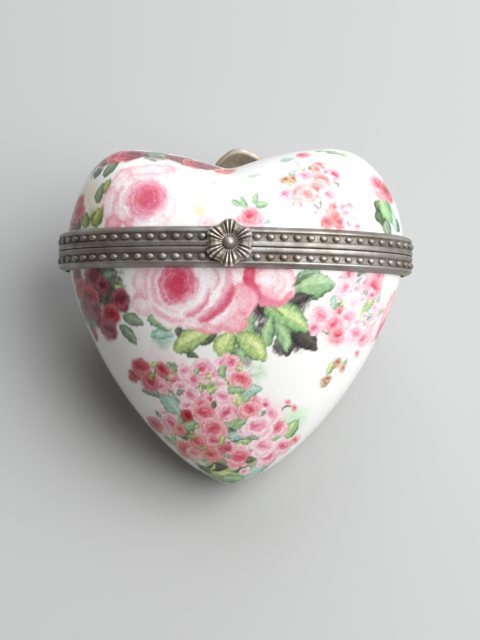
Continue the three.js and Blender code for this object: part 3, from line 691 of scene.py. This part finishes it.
def rose(canvas, x, y, radius, tone, turn, side=1):
    """A rose. The large ones are many rings of petals that get deeper towards the heart."""
    if tone not in ("grand", "soft"):
        cupped_rose(canvas, x, y, radius, tone, turn, side)
        return
    near, u, v = window(canvas, x, y, radius * 1.45, side)
    start = math.radians(turn)
    for ring, (reach, petals) in enumerate(ROSE_RINGS):
        shift = 0.2 * radius * (1 - reach)
        depth = 3.1 * (1 - reach) ** 0.58
        across, up = u - shift * math.cos(start), v - shift * math.sin(start)
        petal_ring(canvas, near, across, up, radius, reach, petals, start + ring * 2.1, tone, depth)


def leaf(canvas, x, y, length, width, angle, tone, side=1):
    """A toothed leaf with a pale midrib, a light half and a dark half, pointing along its angle."""
    near, u, v = window(canvas, x, y, length * 0.62 + 0.4, side)
    along, aside = turned(u, v, math.radians(angle))
    along = along / length + 0.5
    aside = aside - 0.06 * length * np.sin(along * math.pi)
    body = np.sin(math.pi * np.clip(along, 0, 1) ** 0.8) ** 0.75
    teeth = 1 + 0.12 * np.mod(along * 7, 1)
    half = np.maximum(width / 2 * body * teeth, 1e-3)
    spread = np.abs(aside) / half
    shape = inside(np.abs(aside) - half, 0.24) * inside(np.abs(along - 0.5) - 0.5, 0.05)
    lit = aside > 0
    glow = smooth(1.15 - spread) * np.where(lit, 1.0, 0.4) * smooth(1.4 - np.abs(along - 0.55) * 2.4)
    vein = smooth(np.abs(np.mod((along - 0.25 * spread) * 5, 1) - 0.5) * 8 - 3)
    tint = 1.05 - 0.95 * glow + 0.35 * canvas["mottle"][near] + 0.22 * vein
    tint = tint + 0.85 * smooth((spread - 0.6) / 0.4) * np.where(lit, 0.35, 1.0)
    lay(canvas, near, blend(LEAF[tone], tint), shape)
    lay(canvas, near, LEAF[tone][0], 0.55 * shape * inside(np.abs(aside) - 0.07, 0.2))


def broad_petal(canvas, x, y, length, width, angle, tone):
    """A large rounded petal with a deeper edge and a soft shadow round it."""
    near, u, v = window(canvas, x, y, max(length, width))
    along, aside = turned(u, v, math.radians(angle))
    along, aside = along / (length / 2), aside / (width / 2)
    spread = (np.abs(along) ** 2.3 + np.abs(aside) ** 2.3) ** (1 / 2.3)
    distance = (spread - 1 - 0.06 * canvas["mottle"][near]) * min(length, width) / 2
    streak = 0.16 * np.sin(aside * 7 + along * 2)
    tint = np.clip(spread, 0, 1) ** 2 + streak + 0.28 * canvas["mottle"][near]
    lay(canvas, near, PETAL[tone][2], 0.4 * inside(distance - 0.14, 0.35))
    lay(canvas, near, blend(PETAL[tone], tint), inside(distance, 0.26))


def stem(canvas, x0, y0, x1, y1, tone):
    """A thin stem with a slight bow."""
    across, up = (x1 - x0) / 2, (y1 - y0) / 2
    half = math.hypot(across, up)
    near, u, v = window(canvas, (x0 + x1) / 2, (y0 + y1) / 2, half + 0.6)
    along, aside = turned(u, v, math.atan2(up, across))
    aside = aside - 0.25 * (1 - (along / half) ** 2)
    distance = np.maximum(np.abs(aside) - 0.1, np.abs(along) - half)
    lay(canvas, near, LEAF[tone][2], 0.8 * inside(distance, 0.24))


def arc(canvas, x, y, radius, first, last, width, ink):
    """A curved brush mark round a centre, thick in its middle."""
    near, u, v = window(canvas, x, y, radius + width)
    middle, half = math.radians((first + last) / 2), math.radians((last - first) / 2)
    mark = crescent(u, v, radius, middle, half, width) + 0.12 * canvas["mottle"][near]
    lay(canvas, near, INK[ink], 0.8 * inside(mark, 0.45))


def away_from(x, y, away, bearing):
    """A place some way from another along a bearing."""
    return x + away * math.cos(bearing), y + away * math.sin(bearing)


def spray(canvas, x, y, size, seed):
    """A loose posy for the hidden sides: leaves, then roses and buds over them."""
    random = np.random.default_rng(seed)
    blot(canvas, x, y, size * 0.8, "blush", 0.5, BEHIND)
    for step in range(7):
        bearing = step * 0.9 + random.uniform(0, 0.5)
        here = away_from(x, y, size * random.uniform(0.75, 1.05), bearing)
        tone = ("leaf", "lime", "dark", "teal", "grey")[int(random.integers(5))]
        leaf(canvas, *here, size * 0.75, size * 0.36, math.degrees(bearing), tone, BEHIND)
    for step in range(8):
        here = away_from(x, y, size * 0.24 * math.sqrt(step), step * SEED_TURN)
        tone = ("rose", "pink", "pale", "red", "coral")[int(random.integers(5))]
        radius = size * random.uniform(0.26, 0.36)
        rose(canvas, *here, radius, tone, float(random.uniform(0, 360)), BEHIND)


def undergrowth(canvas, x, y, radius, seed):
    """Small leaves and pale roses that fill the gaps of a thick spray."""
    random = np.random.default_rng(seed)
    tones = ("grey", "leaf", "moss", "lime", "teal")
    if x > PALE_FROM:
        tones = ("mist", "teal", "leaf", "mist", "lime")
    for step in range(int(radius * 5)):
        here = away_from(x, y, radius * random.uniform(0.2, 0.92), step * SEED_TURN)
        if step % 3:
            tone = tones[int(random.integers(5))]
            length, width = random.uniform(1.2, 2.4), random.uniform(0.6, 1.1)
            leaf(canvas, *here, length, width, float(random.uniform(0, 360)), tone)
        else:
            rose(canvas, *here, random.uniform(0.7, 1.2), "pale", float(random.uniform(0, 360)))


def draw(canvas, brush, rows):
    """Draws one motif for each row of a table."""
    for row in rows:
        brush(canvas, *row)


def paint(canvas, ground, leaves, stems, petals, roses, accents, arcs, sprays, deepening):
    """Lays the whole print down, then deepens its inks by a power and adds the fine dots of a transfer."""
    draw(canvas, blot, ground)
    draw(canvas, leaf, leaves)
    for seed, (x, y, radius, ink, _) in enumerate(ground):
        if ink in ("blush", "pink") and radius > THICK_SPRAY:
            undergrowth(canvas, x, y, radius, seed)
    draw(canvas, stem, stems)
    draw(canvas, broad_petal, petals)
    for order, row in enumerate(roses):
        rose(canvas, *row, order * ROSE_TURN)
    draw(canvas, leaf, accents)
    draw(canvas, arc, arcs)
    draw(canvas, spray, sprays)
    deep = GLAZE * np.clip(canvas["colour"] / GLAZE, 0.02, 1.05) ** deepening
    grain = np.random.default_rng(77).normal(0, 0.016, (len(canvas["cover"]), 1))
    canvas["colour"] = np.clip(deep + grain * canvas["cover"][:, None], 0, 1)


# Materials

def fill(tree, node, inputs):
    """Fills a node's inputs, each from a value or from another node's output."""
    for name, value in inputs.items():
        if isinstance(value, bpy.types.NodeSocket):
            tree.links.new(value, node.inputs[name])
        else:
            node.inputs[name].default_value = value


def add_node(tree, kind, inputs):
    node = tree.nodes.new("ShaderNode" + kind)
    fill(tree, node, inputs)
    return node


def new_material(name):
    material = bpy.data.materials.new(name)
    material.use_nodes = True
    return material, material.node_tree, material.node_tree.nodes["Principled BSDF"]


def noise(tree, scale, detail):
    spot = add_node(tree, "TexCoord", {}).outputs["Object"]
    return add_node(tree, "TexNoise", {"Scale": scale, "Detail": detail, "Vector": spot}).outputs["Fac"]


def remap(tree, source, low, high, to_low, to_high):
    inputs = {"Value": source, "From Min": low, "From Max": high, "To Min": to_low, "To Max": to_high}
    return add_node(tree, "MapRange", inputs).outputs["Result"]


def bump(tree, height, strength, distance):
    inputs = {"Height": height, "Strength": strength, "Distance": distance}
    return add_node(tree, "Bump", inputs).outputs["Normal"]


def stored(tree, name):
    """The outputs of a node that reads an attribute of the mesh."""
    node = add_node(tree, "Attribute", {})
    node.attribute_name = name
    return node.outputs


def glaze_material(name):
    """White glaze over a printed picture: the ink is slightly grainy, the surface glassy."""
    material, tree, shader = new_material(name)
    print_ink = stored(tree, "print")
    grain = noise(tree, 4200, 2)
    depth = remap(tree, grain, 0.3, 0.7, 0.86, 1.1)
    inked = add_node(tree, "Mix", {"Factor": print_ink["Alpha"], "A": 1.0, "B": depth})
    scaled = add_node(tree, "VectorMath", {"Vector": print_ink["Color"]})
    scaled.operation = "SCALE"
    fill(tree, scaled, {"Scale": inked.outputs["Result"]})
    fill(tree, shader, {
        "Base Color": scaled.outputs["Vector"],
        "Normal": bump(tree, noise(tree, 90, 2), 0.1, 0.0006),
        "Roughness": remap(tree, grain, 0.2, 0.8, 0.1, 0.17),
        "IOR": 1.42,
        "Coat Weight": 0.22,
        "Coat Roughness": 0.05,
        "Subsurface Weight": 0.12,
        "Subsurface Radius": (0.8, 0.7, 0.6),
        "Subsurface Scale": 0.0012,
    })
    return material


# Metal colours by wear, from the hollows to the rubbed edges; on some pieces the stored value also holds
# painted highlight and shade
METAL_INKS = (
    (0.0, (0.08, 0.06, 0.05)), (0.3, (0.2, 0.17, 0.145)), (0.55, (0.37, 0.345, 0.325)),
    (0.95, (0.64, 0.64, 0.64)),
)
PATINA = (0.96, 0.87, 0.72, 1)


def metal_material(name, brightness=1.0, warmth=0.0, dullness=0.0):
    """Antiqued white metal: brown in the hollows, grey on the body, rubbed paler on the edges, paler where a
    highlight is painted in and darker where shade is painted in.
    """
    material, tree, shader = new_material(name)
    blotches = remap(tree, noise(tree, 300, 4), 0.3, 0.7, -0.13, 0.13)
    worn_with_painted_light = add_node(tree, "Math", {0: stored(tree, "wear_and_painted_light")["Fac"], 1: blotches}).outputs["Value"]
    ramp = add_node(tree, "ValToRGB", {"Fac": worn_with_painted_light})
    elements = ramp.color_ramp.elements
    while len(elements) < len(METAL_INKS):
        elements.new(0.5)
    tints = (brightness * (1 + warmth), brightness, brightness * (1 - warmth))
    for element, (position, ink) in zip(elements, METAL_INKS):
        element.position = position
        element.color = (*(channel * tint for channel, tint in zip(ink, tints)), 1)
    share = remap(tree, noise(tree, 130, 2), 0.48, 0.68, 0, 0.6)
    inputs = {"Fac": share, "Color1": ramp.outputs["Color"], "Color2": PATINA}
    browned = add_node(tree, "MixRGB", inputs)
    browned.blend_type = "MULTIPLY"
    fill(tree, shader, {
        "Base Color": browned.outputs["Color"],
        "Metallic": 0.85,
        "Roughness": remap(tree, worn_with_painted_light, 0.1, 0.9, 0.62 + dullness, 0.42 + dullness),
        "Normal": bump(tree, noise(tree, 2200, 3), 0.5, 0.00012),
    })
    return material


# Porcelain pieces

# Rows of points down each shell, and stations of points round it
LID_ROWS = 148
LID_STATIONS = 610
BASE_ROWS = 186
BASE_STATIONS = 500
INNER_ROWS = 26
INNER_STATIONS = 120
BACK_SHARE = 0.45


def outward_normals(grid, pole):
    """Outward normals of rows of points, from their neighbours."""
    around = np.roll(grid, -1, 1) - np.roll(grid, 1, 1)
    down = np.gradient(np.concatenate([grid, np.broadcast_to(pole, grid[:1].shape)]), axis=0)[:-1]
    normal = np.cross(around, down)
    normal /= np.maximum(np.linalg.norm(normal, axis=-1, keepdims=True), 1e-9)
    flip = np.sign(np.einsum("ijk,ijk->ij", normal, grid - grid.reshape(-1, 3).mean(0)))
    return normal * np.where(flip == 0, 1, flip)[..., None]


def skin(surface, rows, angles, inset):
    """Rows of points from a shell's mouth inward, and the last point, which closes them."""
    grid = surface(angles[None, :], even_turns(surface, rows)[:, None], inset)
    return grid, surface(np.array([0.0]), np.array([1.0]), inset)


def porcelain(name, surface, rows, stations, motifs, body, node, slot):
    """A shell with a painted outside and a plain inside, joined by a flat lip."""
    angles, inner_angles = mouth_angles(stations, BACK_SHARE), mouth_angles(INNER_STATIONS)
    outer, pole = skin(surface, rows, angles, 0)
    inner, inner_pole = skin(surface, INNER_ROWS, inner_angles, WALL)
    canvas = new_canvas(outer.reshape(-1, 3), outward_normals(outer, pole[0]).reshape(-1, 3))
    paint(canvas, *motifs)
    points = np.concatenate([outer.reshape(-1, 3), pole, inner.reshape(-1, 3), inner_pole])
    tip = rows * stations
    second = tip + 1
    faces = [
        grid_faces(rows, stations),
        fan_faces(tip - stations, stations, tip),
        stitch_faces(0, angles, second, inner_angles),
        grid_faces(INNER_ROWS, INNER_STATIONS, second),
        fan_faces(second + (INNER_ROWS - 1) * INNER_STATIONS, INNER_STATIONS, len(points) - 1),
    ]
    piece = make(name, (points, faces), body, node, glaze_material(name + "_glaze"))
    plain = len(points) - tip
    colours = np.concatenate([canvas["colour"], np.tile(GLAZE, (plain, 1))])
    colours[tip] = colours[tip - 1]
    linear = np.where(colours <= 0.04045, colours / 12.92, ((colours + 0.055) / 1.055) ** 2.4)
    cover = np.concatenate([canvas["cover"], np.zeros(plain)])
    attribute = piece.data.color_attributes.new("print", "FLOAT_COLOR", "POINT")
    attribute.data.foreach_set("color", np.column_stack([linear, cover]).astype(np.float32).ravel())


lid_grid = (LID_ROWS, LID_STATIONS)
base_grid = (BASE_ROWS, BASE_STATIONS)
porcelain("lid_shell", lid_surface, *lid_grid, LID_PRINT, "lid", "lid_porcelain", "lid_glaze")
porcelain("base_shell", base_surface, *base_grid, BASE_PRINT, "base", "base_porcelain", "base_glaze")


# Rims

# Section of a rim: out from the porcelain, height above the parting plane, wear
RIM_SECTION = [
    (-2.1, 0.05, 0.3), (1.36, 0.05, 0.35), (1.47, 0.09, 0.44), (1.53, 0.2, 0.58), (1.55, 0.42, 0.52),
    (1.55, 0.68, 0.46), (1.5, 0.88, 0.52), (1.4, 1.0, 0.4), (1.3, 1.1, 0.3), (1.26, 1.4, 0.36),
    (1.26, 2.1, 0.38), (1.3, 2.38, 0.32), (1.38, 2.48, 0.4), (1.46, 2.58, 0.62), (1.48, 2.74, 0.6),
    (1.42, 2.9, 0.52), (1.2, 3.12, 0.5), (0.86, 3.32, 0.52), (0.5, 3.47, 0.56), (0.22, 3.56, 0.5),
    (0.06, 3.6, 0.2), (0.04, 3.3, 0.0), (0.04, 0.98, 0.0), (-2.1, 0.98, 0.2),
]
RIM_STATIONS = 420
BEAD_OUT = 1.16
BEAD_RISE = 1.74
BEAD_SIZE = (0.82, 0.62, 0.62)
BEAD_RINGS = 7
BEAD_SIDES = 12
BEAD_POLE = 0.12


def bead(angle, side):
    """One bead, a squashed ball that lies along the rim, and its rubbing, with a painted highlight on its
    crown.
    """
    polar = np.linspace(BEAD_POLE, math.pi - BEAD_POLE, BEAD_RINGS)[:, None]
    ring, bearing = np.sin(polar), bearings(BEAD_SIDES)
    ball = np.stack([np.cos(polar) + 0 * bearing, ring * np.cos(bearing), ring * np.sin(bearing)], -1)
    normal = mouth_normal(np.array([angle]))[0]
    axes = np.array([[normal[2], 0, -normal[0]], UP, normal])
    # The outward crown is paler than the sides: rubbed, with a painted highlight on it.
    wear_and_painted_light = np.clip(0.14 + 0.46 * ball[..., 2], 0, 1)
    centre = rim_point(angle, BEAD_OUT, side * BEAD_RISE)
    return capped(centre + ball * BEAD_SIZE @ axes), np.append(wear_and_painted_light, [0.1, 0.1])


def rim(name, side, body, node):
    """A rim with its beads, above the parting plane for side 1 and below it for side -1."""
    angles = mouth_angles(RIM_STATIONS)
    out, height, section_wear = np.array(RIM_SECTION).T
    drift = 0.02 * np.sin(angles * 9)[:, None] * (out > 0.5)
    swept = rim_point(angles[:, None], out + drift, side * height)
    parts = [(swept.reshape(-1, 3), [grid_faces(RIM_STATIONS, len(out), looped=True)])]
    wear_and_painted_light = [np.tile(section_wear, RIM_STATIONS)]
    for angle in mouth_angles(BEADS * 2)[1::2]:
        covered = CLASP_RADIUS - 0.3 if math.sin(angle) > 0 else HINGE_HALF + BEAD_SIZE[0]
        if abs(HALF_WIDTH * math.cos(angle)) >= covered:
            part, bead_highlight_and_wear = bead(angle, side)
            parts.append(part)
            wear_and_painted_light.append(bead_highlight_and_wear)
    metal = metal_material(name + "_metal")
    metal_piece(name, join(parts), np.concatenate(wear_and_painted_light), body, node, metal)


rim("lid_band", 1, "lid", "lid_rim")
rim("base_band", -1, "base", "base_rim")


# Clasp

BOSS_RADIUS = 1.05
BOSS_RISE = 1.1
CLASP_RINGS = 60
CLASP_SIDES = 300


def groove(from_middle, width):
    """Depth of the three grooves that run out along the middle of each petal."""
    return sum(np.exp(-(((from_middle - turn) / width) ** 2)) for turn in (-0.235, 0.0, 0.235))


def clasp():
    """The flower at the front: six grooved petals round a boss, with a short skirt below them."""
    shares = np.linspace(0.012, 1, CLASP_RINGS)[:, None]
    bearing = bearings(CLASP_SIDES)
    from_middle = np.mod(bearing, math.pi / 3) - math.pi / 6
    waist = np.abs(np.cos(3 * bearing))
    reach = CLASP_RADIUS * (1 - 0.13 * waist**3) * (1 - 0.02 * groove(from_middle, 0.07))
    inner = np.minimum(1.6, reach)
    radius = np.where(shares < 0.4, shares / 0.4 * inner, inner + (shares - 0.4) / 0.6 * (reach - inner))
    share = radius / reach
    notch = waist**6
    cut = groove(from_middle, 0.055 + 0.03 * (1 - share))
    open_petal = smooth((radius - 1.25) / 0.5)
    dish = 0.75 + 0.75 * smooth((radius - 1.0) / 1.5) - 0.85 * smooth((share - 0.82) / 0.2)
    relief = dish - open_petal * (0.36 * cut * (0.5 + 0.5 * share) + 0.3 * notch * share)
    boss = np.where(radius < BOSS_RADIUS, BOSS_RISE + fall(np.minimum(radius / BOSS_RADIUS, 1), 2), 0)
    ridge = np.exp(-(((np.abs(from_middle) - 0.12) / 0.06) ** 2))
    wear_and_painted_light = 0.46 + open_petal * (0.34 * ridge - 0.5 * np.minimum(cut, 1) - 0.12 * notch)
    # The flower's outer edge is rubbed paler; the dark ring round the foot of the boss is painted shade in
    # the crease, over its patina.
    wear_and_painted_light = wear_and_painted_light + 0.25 * smooth((share - 0.9) / 0.08) - 0.3 * np.exp(-(((radius - 1.12) / 0.14) ** 2))
    wear_and_painted_light = np.where(radius < 1.0, 0.42, wear_and_painted_light)
    top = np.stack([radius * np.cos(bearing), radius * np.sin(bearing), np.maximum(relief, boss)], -1)
    skirt = top[-1:] * [0.97, 0.97, 0]
    part = capped(np.concatenate([top, skirt]) + [0, CLASP_RISE, METAL_FACE])
    wear_and_painted_light = np.concatenate([wear_and_painted_light.ravel(), np.zeros(CLASP_SIDES), [0.4, 0]])
    # The clasp's metal is 1.5 times as bright as the rims': painted light on the same antiqued metal.
    metal_piece("clasp", part, wear_and_painted_light, "lid", "clasp_flower", metal_material("clasp_metal", 1.5))


clasp()


# Hinge

KNUCKLE_RADIUS = 1.47
KNUCKLE_BORE = 0.6
KNUCKLE_GAP = 0.3
BASE_KNUCKLE = 3.7
LID_KNUCKLE = 5.0
PIN_LENGTH = 13.6
PIN_RADIUS = 0.55
BAR_SIDES = 40
BAR_EASE = 0.18
LEAF_CLEAR = 0.15
LEAF_DROP = 4.2
LEAF_CORNER = 1.6
LEAF_THICK = 0.8
LEAF_EASE = 0.12


def bar_profile(length, radius):
    """Places along a bar and its radius there, with eased ends."""
    half, slim = length / 2, radius - BAR_EASE
    return [(-half, slim), (BAR_EASE - half, radius), (half - BAR_EASE, radius), (half, slim)]


def spun(profile, middle=0.0):
    """Rings of points round the hinge's axis."""
    x, radius = (values[:, None] for values in np.array(profile).T)
    bearing = bearings(BAR_SIDES)
    ring = (middle + x, radius * np.cos(bearing), radius * np.sin(bearing) - HINGE_BACK)
    return np.stack(np.broadcast_arrays(*ring), -1)


def knuckle(length, middle):
    """A bored knuckle with rounded ends."""
    half = length / 2
    rings = spun([(-half, KNUCKLE_BORE), *bar_profile(length, KNUCKLE_RADIUS), (half, KNUCKLE_BORE)], middle)
    return rings.reshape(-1, 3), [grid_faces(len(rings), BAR_SIDES, looped=True)]


def hinge_leaf(near, far):
    """A flat leaf between two heights, with an eased edge and two rounded far corners."""
    side = LEAF_CORNER if far > near else -LEAF_CORNER
    outline = [(-HINGE_HALF, near), (HINGE_HALF, near)]
    for sign, first in ((1, 0), (-1, math.pi / 2)):
        for bearing in first + np.linspace(0, math.pi / 2, 9):
            x = sign * (HINGE_HALF - LEAF_CORNER) + LEAF_CORNER * math.cos(bearing)
            outline.append((x, far - side + side * math.sin(bearing)))
    outline = np.array(outline)
    from_centre = outline - outline.mean(0)
    inner = outline - from_centre * LEAF_EASE / np.abs(from_centre).max()
    levels = ((inner, 0), (outline, LEAF_EASE), (outline, LEAF_THICK - LEAF_EASE), (inner, LEAF_THICK))
    rings = [np.insert(shape, 2, -METAL_FACE - depth, axis=1) for shape, depth in levels]
    return capped(np.stack(rings))


def hinge_wear(points, seed):
    """Blotched rubbing for plain hinge metal."""
    return 0.42 + 0.18 * waves(points, 3.0, seed)


offset = (LID_KNUCKLE + BASE_KNUCKLE) / 2 + KNUCKLE_GAP
lower_leaf = hinge_leaf(-LEAF_CLEAR, -LEAF_DROP)
lower = join([lower_leaf, knuckle(BASE_KNUCKLE, offset), knuckle(BASE_KNUCKLE, -offset)])
lower_wear = hinge_wear(lower[0], 41)
lower_metal = metal_material("hinge_lower_metal")
metal_piece("hinge_lower", lower, lower_wear, "base", "hinge_leaf_base", lower_metal)
pin = capped(spun(bar_profile(PIN_LENGTH, PIN_RADIUS)))
pin_metal = metal_material("pin_metal", 1.2)
metal_piece("pin", pin, hinge_wear(pin[0], 42), "base", "hinge_pin", pin_metal)


# The strap that runs from the hinge up the back of the lid and ends in a flower

STRAP_FOOT = (0.3, -METAL_FACE - 0.5)
STRAP_BEND = (8.5, -METAL_FACE - 1.3)
STRAP_END = (21.6, -7.4)
STRAP_FLOWER = 5.3
STRAP_RISE = 15.6
STRAP_LEAN = math.radians(-1.0)
STRAP_HALF = 0.5
FLOWER_RINGS = 40
FLOWER_SIDES = 216
FLOWER_TURN = math.radians(8.5)
BAND_ROWS = 26
BAND_COLUMNS = 15


def on_strap(x, y, lift):
    """A point of the strap: x and y as seen from the front, lift outward from its middle surface."""
    share = np.linspace(0, 1.1, 400)[:, None]
    foot, bend, end = np.array(STRAP_FOOT), np.array(STRAP_BEND), np.array(STRAP_END)
    height, depth = (foot * (1 - share) ** 2 + 2 * bend * share * (1 - share) + end * share**2).T
    slope = np.interp(y, height, np.gradient(depth) / np.gradient(height))
    size = np.hypot(1, slope)
    across, up = turned(x, y + lift * slope / size, -STRAP_LEAN)
    return np.stack(np.broadcast_arrays(across, up, np.interp(y, height, depth) - lift / size), -1)


def strap_flower():
    """The shell-like flower at the strap's end, faintly fluted, with a rolled edge, and its rubbing, with a
    painted highlight along the rolled edge.
    """
    shares = np.linspace(0.015, 1, FLOWER_RINGS)[:, None]
    bearing = bearings(FLOWER_SIDES)
    turn = bearing - FLOWER_TURN
    reach = STRAP_FLOWER * (1 - 0.035 * np.abs(np.cos(3 * turn - math.pi)) ** 3) * shares
    x, y = 1.06 * reach * np.cos(bearing), STRAP_RISE + reach * np.sin(bearing)
    flute = 0.015 * np.cos(18 * turn) * smooth((shares - 0.3) / 0.2) * (1 - smooth((shares - 0.8) / 0.1))
    roll = 0.1 * smooth((shares - 0.87) / 0.07)
    hollow = 0.3 * (1 - smooth(shares / 0.9))
    edge = 0.44 * smooth((shares - 0.94) / 0.06)
    back = on_strap(x, y, STRAP_HALF + flute + roll - hollow - edge)
    front = on_strap(x, y, -STRAP_HALF + flute - roll - hollow + edge)
    # The rolled edge is paler on both faces: rubbed, with a painted highlight where light catches it.
    wear_and_painted_light = np.concatenate([0.44 + 2.0 * flute + 2.2 * roll, (0.44 - 1.2 * flute + 2.2 * roll)[::-1]])
    return capped(np.concatenate([back, front[::-1]])), np.append(wear_and_painted_light, [0.3, 0.3])


def strap_band():
    """The strap itself, from the leaf to under its flower, and its rubbing."""
    height = np.linspace(STRAP_FOOT[0], STRAP_RISE - 3.5, BAND_ROWS)[:, None]
    across = np.linspace(-1, 1, BAND_COLUMNS)[None, :]
    waist = 3.0 - 0.35 * np.sin(height / STRAP_RISE * math.pi)
    ease = 0.32 * np.abs(across) ** 8
    rib = 0.12 * np.cos(across * 3 * math.pi)
    back = on_strap(across * waist, height, STRAP_HALF + rib - ease - 0.12)
    front = on_strap(across * waist, height, ease - STRAP_HALF)
    wear_and_painted_light = np.tile(np.concatenate([0.45 + 1.6 * rib, 0.3 + 0 * rib], 1), (BAND_ROWS, 1))
    return capped(np.concatenate([back, front[:, ::-1]], 1)), np.append(wear_and_painted_light, [0.3, 0.3])


plain = join([hinge_leaf(LEAF_CLEAR, RIM_HEIGHT), knuckle(LID_KNUCKLE, 0)])
band, band_wear = strap_band()
flower, flower_wear_and_highlight = strap_flower()
upper = join([plain, band, flower])
upper_wear_and_highlight = np.concatenate([hinge_wear(plain[0], 43), band_wear, flower_wear_and_highlight])
upper_metal = metal_material("strap_metal", 1.3, 0.1, 0.2)
metal_piece("hinge_upper", upper, upper_wear_and_highlight, "lid", "hinge_leaf_lid", upper_metal)


# Floor, light and camera

bpy.ops.mesh.primitive_plane_add(size=4, location=(0, 0, 0))
floor = bpy.context.object
floor.name = "floor"
floor_material, floor_tree, floor_shader = new_material("floor")
fill(floor_tree, floor_shader, {"Base Color": (0.47, 0.47, 0.47, 1), "Roughness": 0.75})
floor.data.materials.append(floor_material)

world = bpy.data.worlds.new("studio")
bpy.context.scene.world = world
world.use_nodes = True
background = world.node_tree.nodes["Background"]
fill(world.node_tree, background, {"Color": (1.0, 0.93, 0.81, 1), "Strength": 0.13})


def stand(name, data, across, up, back, spot):
    """Adds a light or camera that looks against back from a spot."""
    thing = bpy.data.objects.new(name, data)
    bpy.context.scene.collection.objects.link(thing)
    axes = np.eye(4)
    axes[:3] = np.column_stack([across, up, back, spot])
    thing.matrix_world = Matrix(axes.tolist())
    return thing


LIGHT_AIM = np.array([0, 0, 0.02])


def area_light(name, spot, size, power, colour):
    """A rectangular light that faces the box."""
    light = bpy.data.lights.new(name, "AREA")
    light.shape = "RECTANGLE"
    light.size, light.size_y = size
    light.energy = power
    light.color = colour
    back = unit(np.array(spot) - LIGHT_AIM)
    across = unit(np.cross(FRONT, back))
    stand(name, light, across, np.cross(back, across), back, spot)


area_light("window", (0.42, 0.0, 0.53), (0.7, 0.6), 7.3, (0.98, 1.0, 1.0))
area_light("sky", (0.05, 0.5, 0.5), (0.5, 0.4), 2.2, (0.92, 0.97, 1.0))

CAMERA_SPOT = (14.13, -21.32, 298.88)
CAMERA_YAW, CAMERA_PITCH, CAMERA_ROLL = -0.0435, 0.031, 0.0168
FOCAL_PIXELS = 1616.0
LONG_SIDE = 640
SENSOR = 36


def aim_camera():
    """The photograph's viewpoint, given in the heart's own frame."""
    level = math.cos(CAMERA_PITCH)
    ahead = np.array([math.sin(CAMERA_YAW) * level, math.sin(CAMERA_PITCH), -math.cos(CAMERA_YAW) * level])
    right = unit(np.cross(ahead, UP))
    right, up = turned(right, np.cross(right, ahead), CAMERA_ROLL)
    data = bpy.data.cameras.new("camera")
    data.sensor_width = SENSOR
    data.lens = FOCAL_PIXELS / LONG_SIDE * SENSOR
    data.clip_start, data.clip_end = 0.01, 10
    camera = stand("camera", data, right @ TURN, up @ TURN, -ahead @ TURN, place(CAMERA_SPOT))
    bpy.context.scene.camera = camera


aim_camera()
bpy.context.scene.view_settings.view_transform = "Standard"
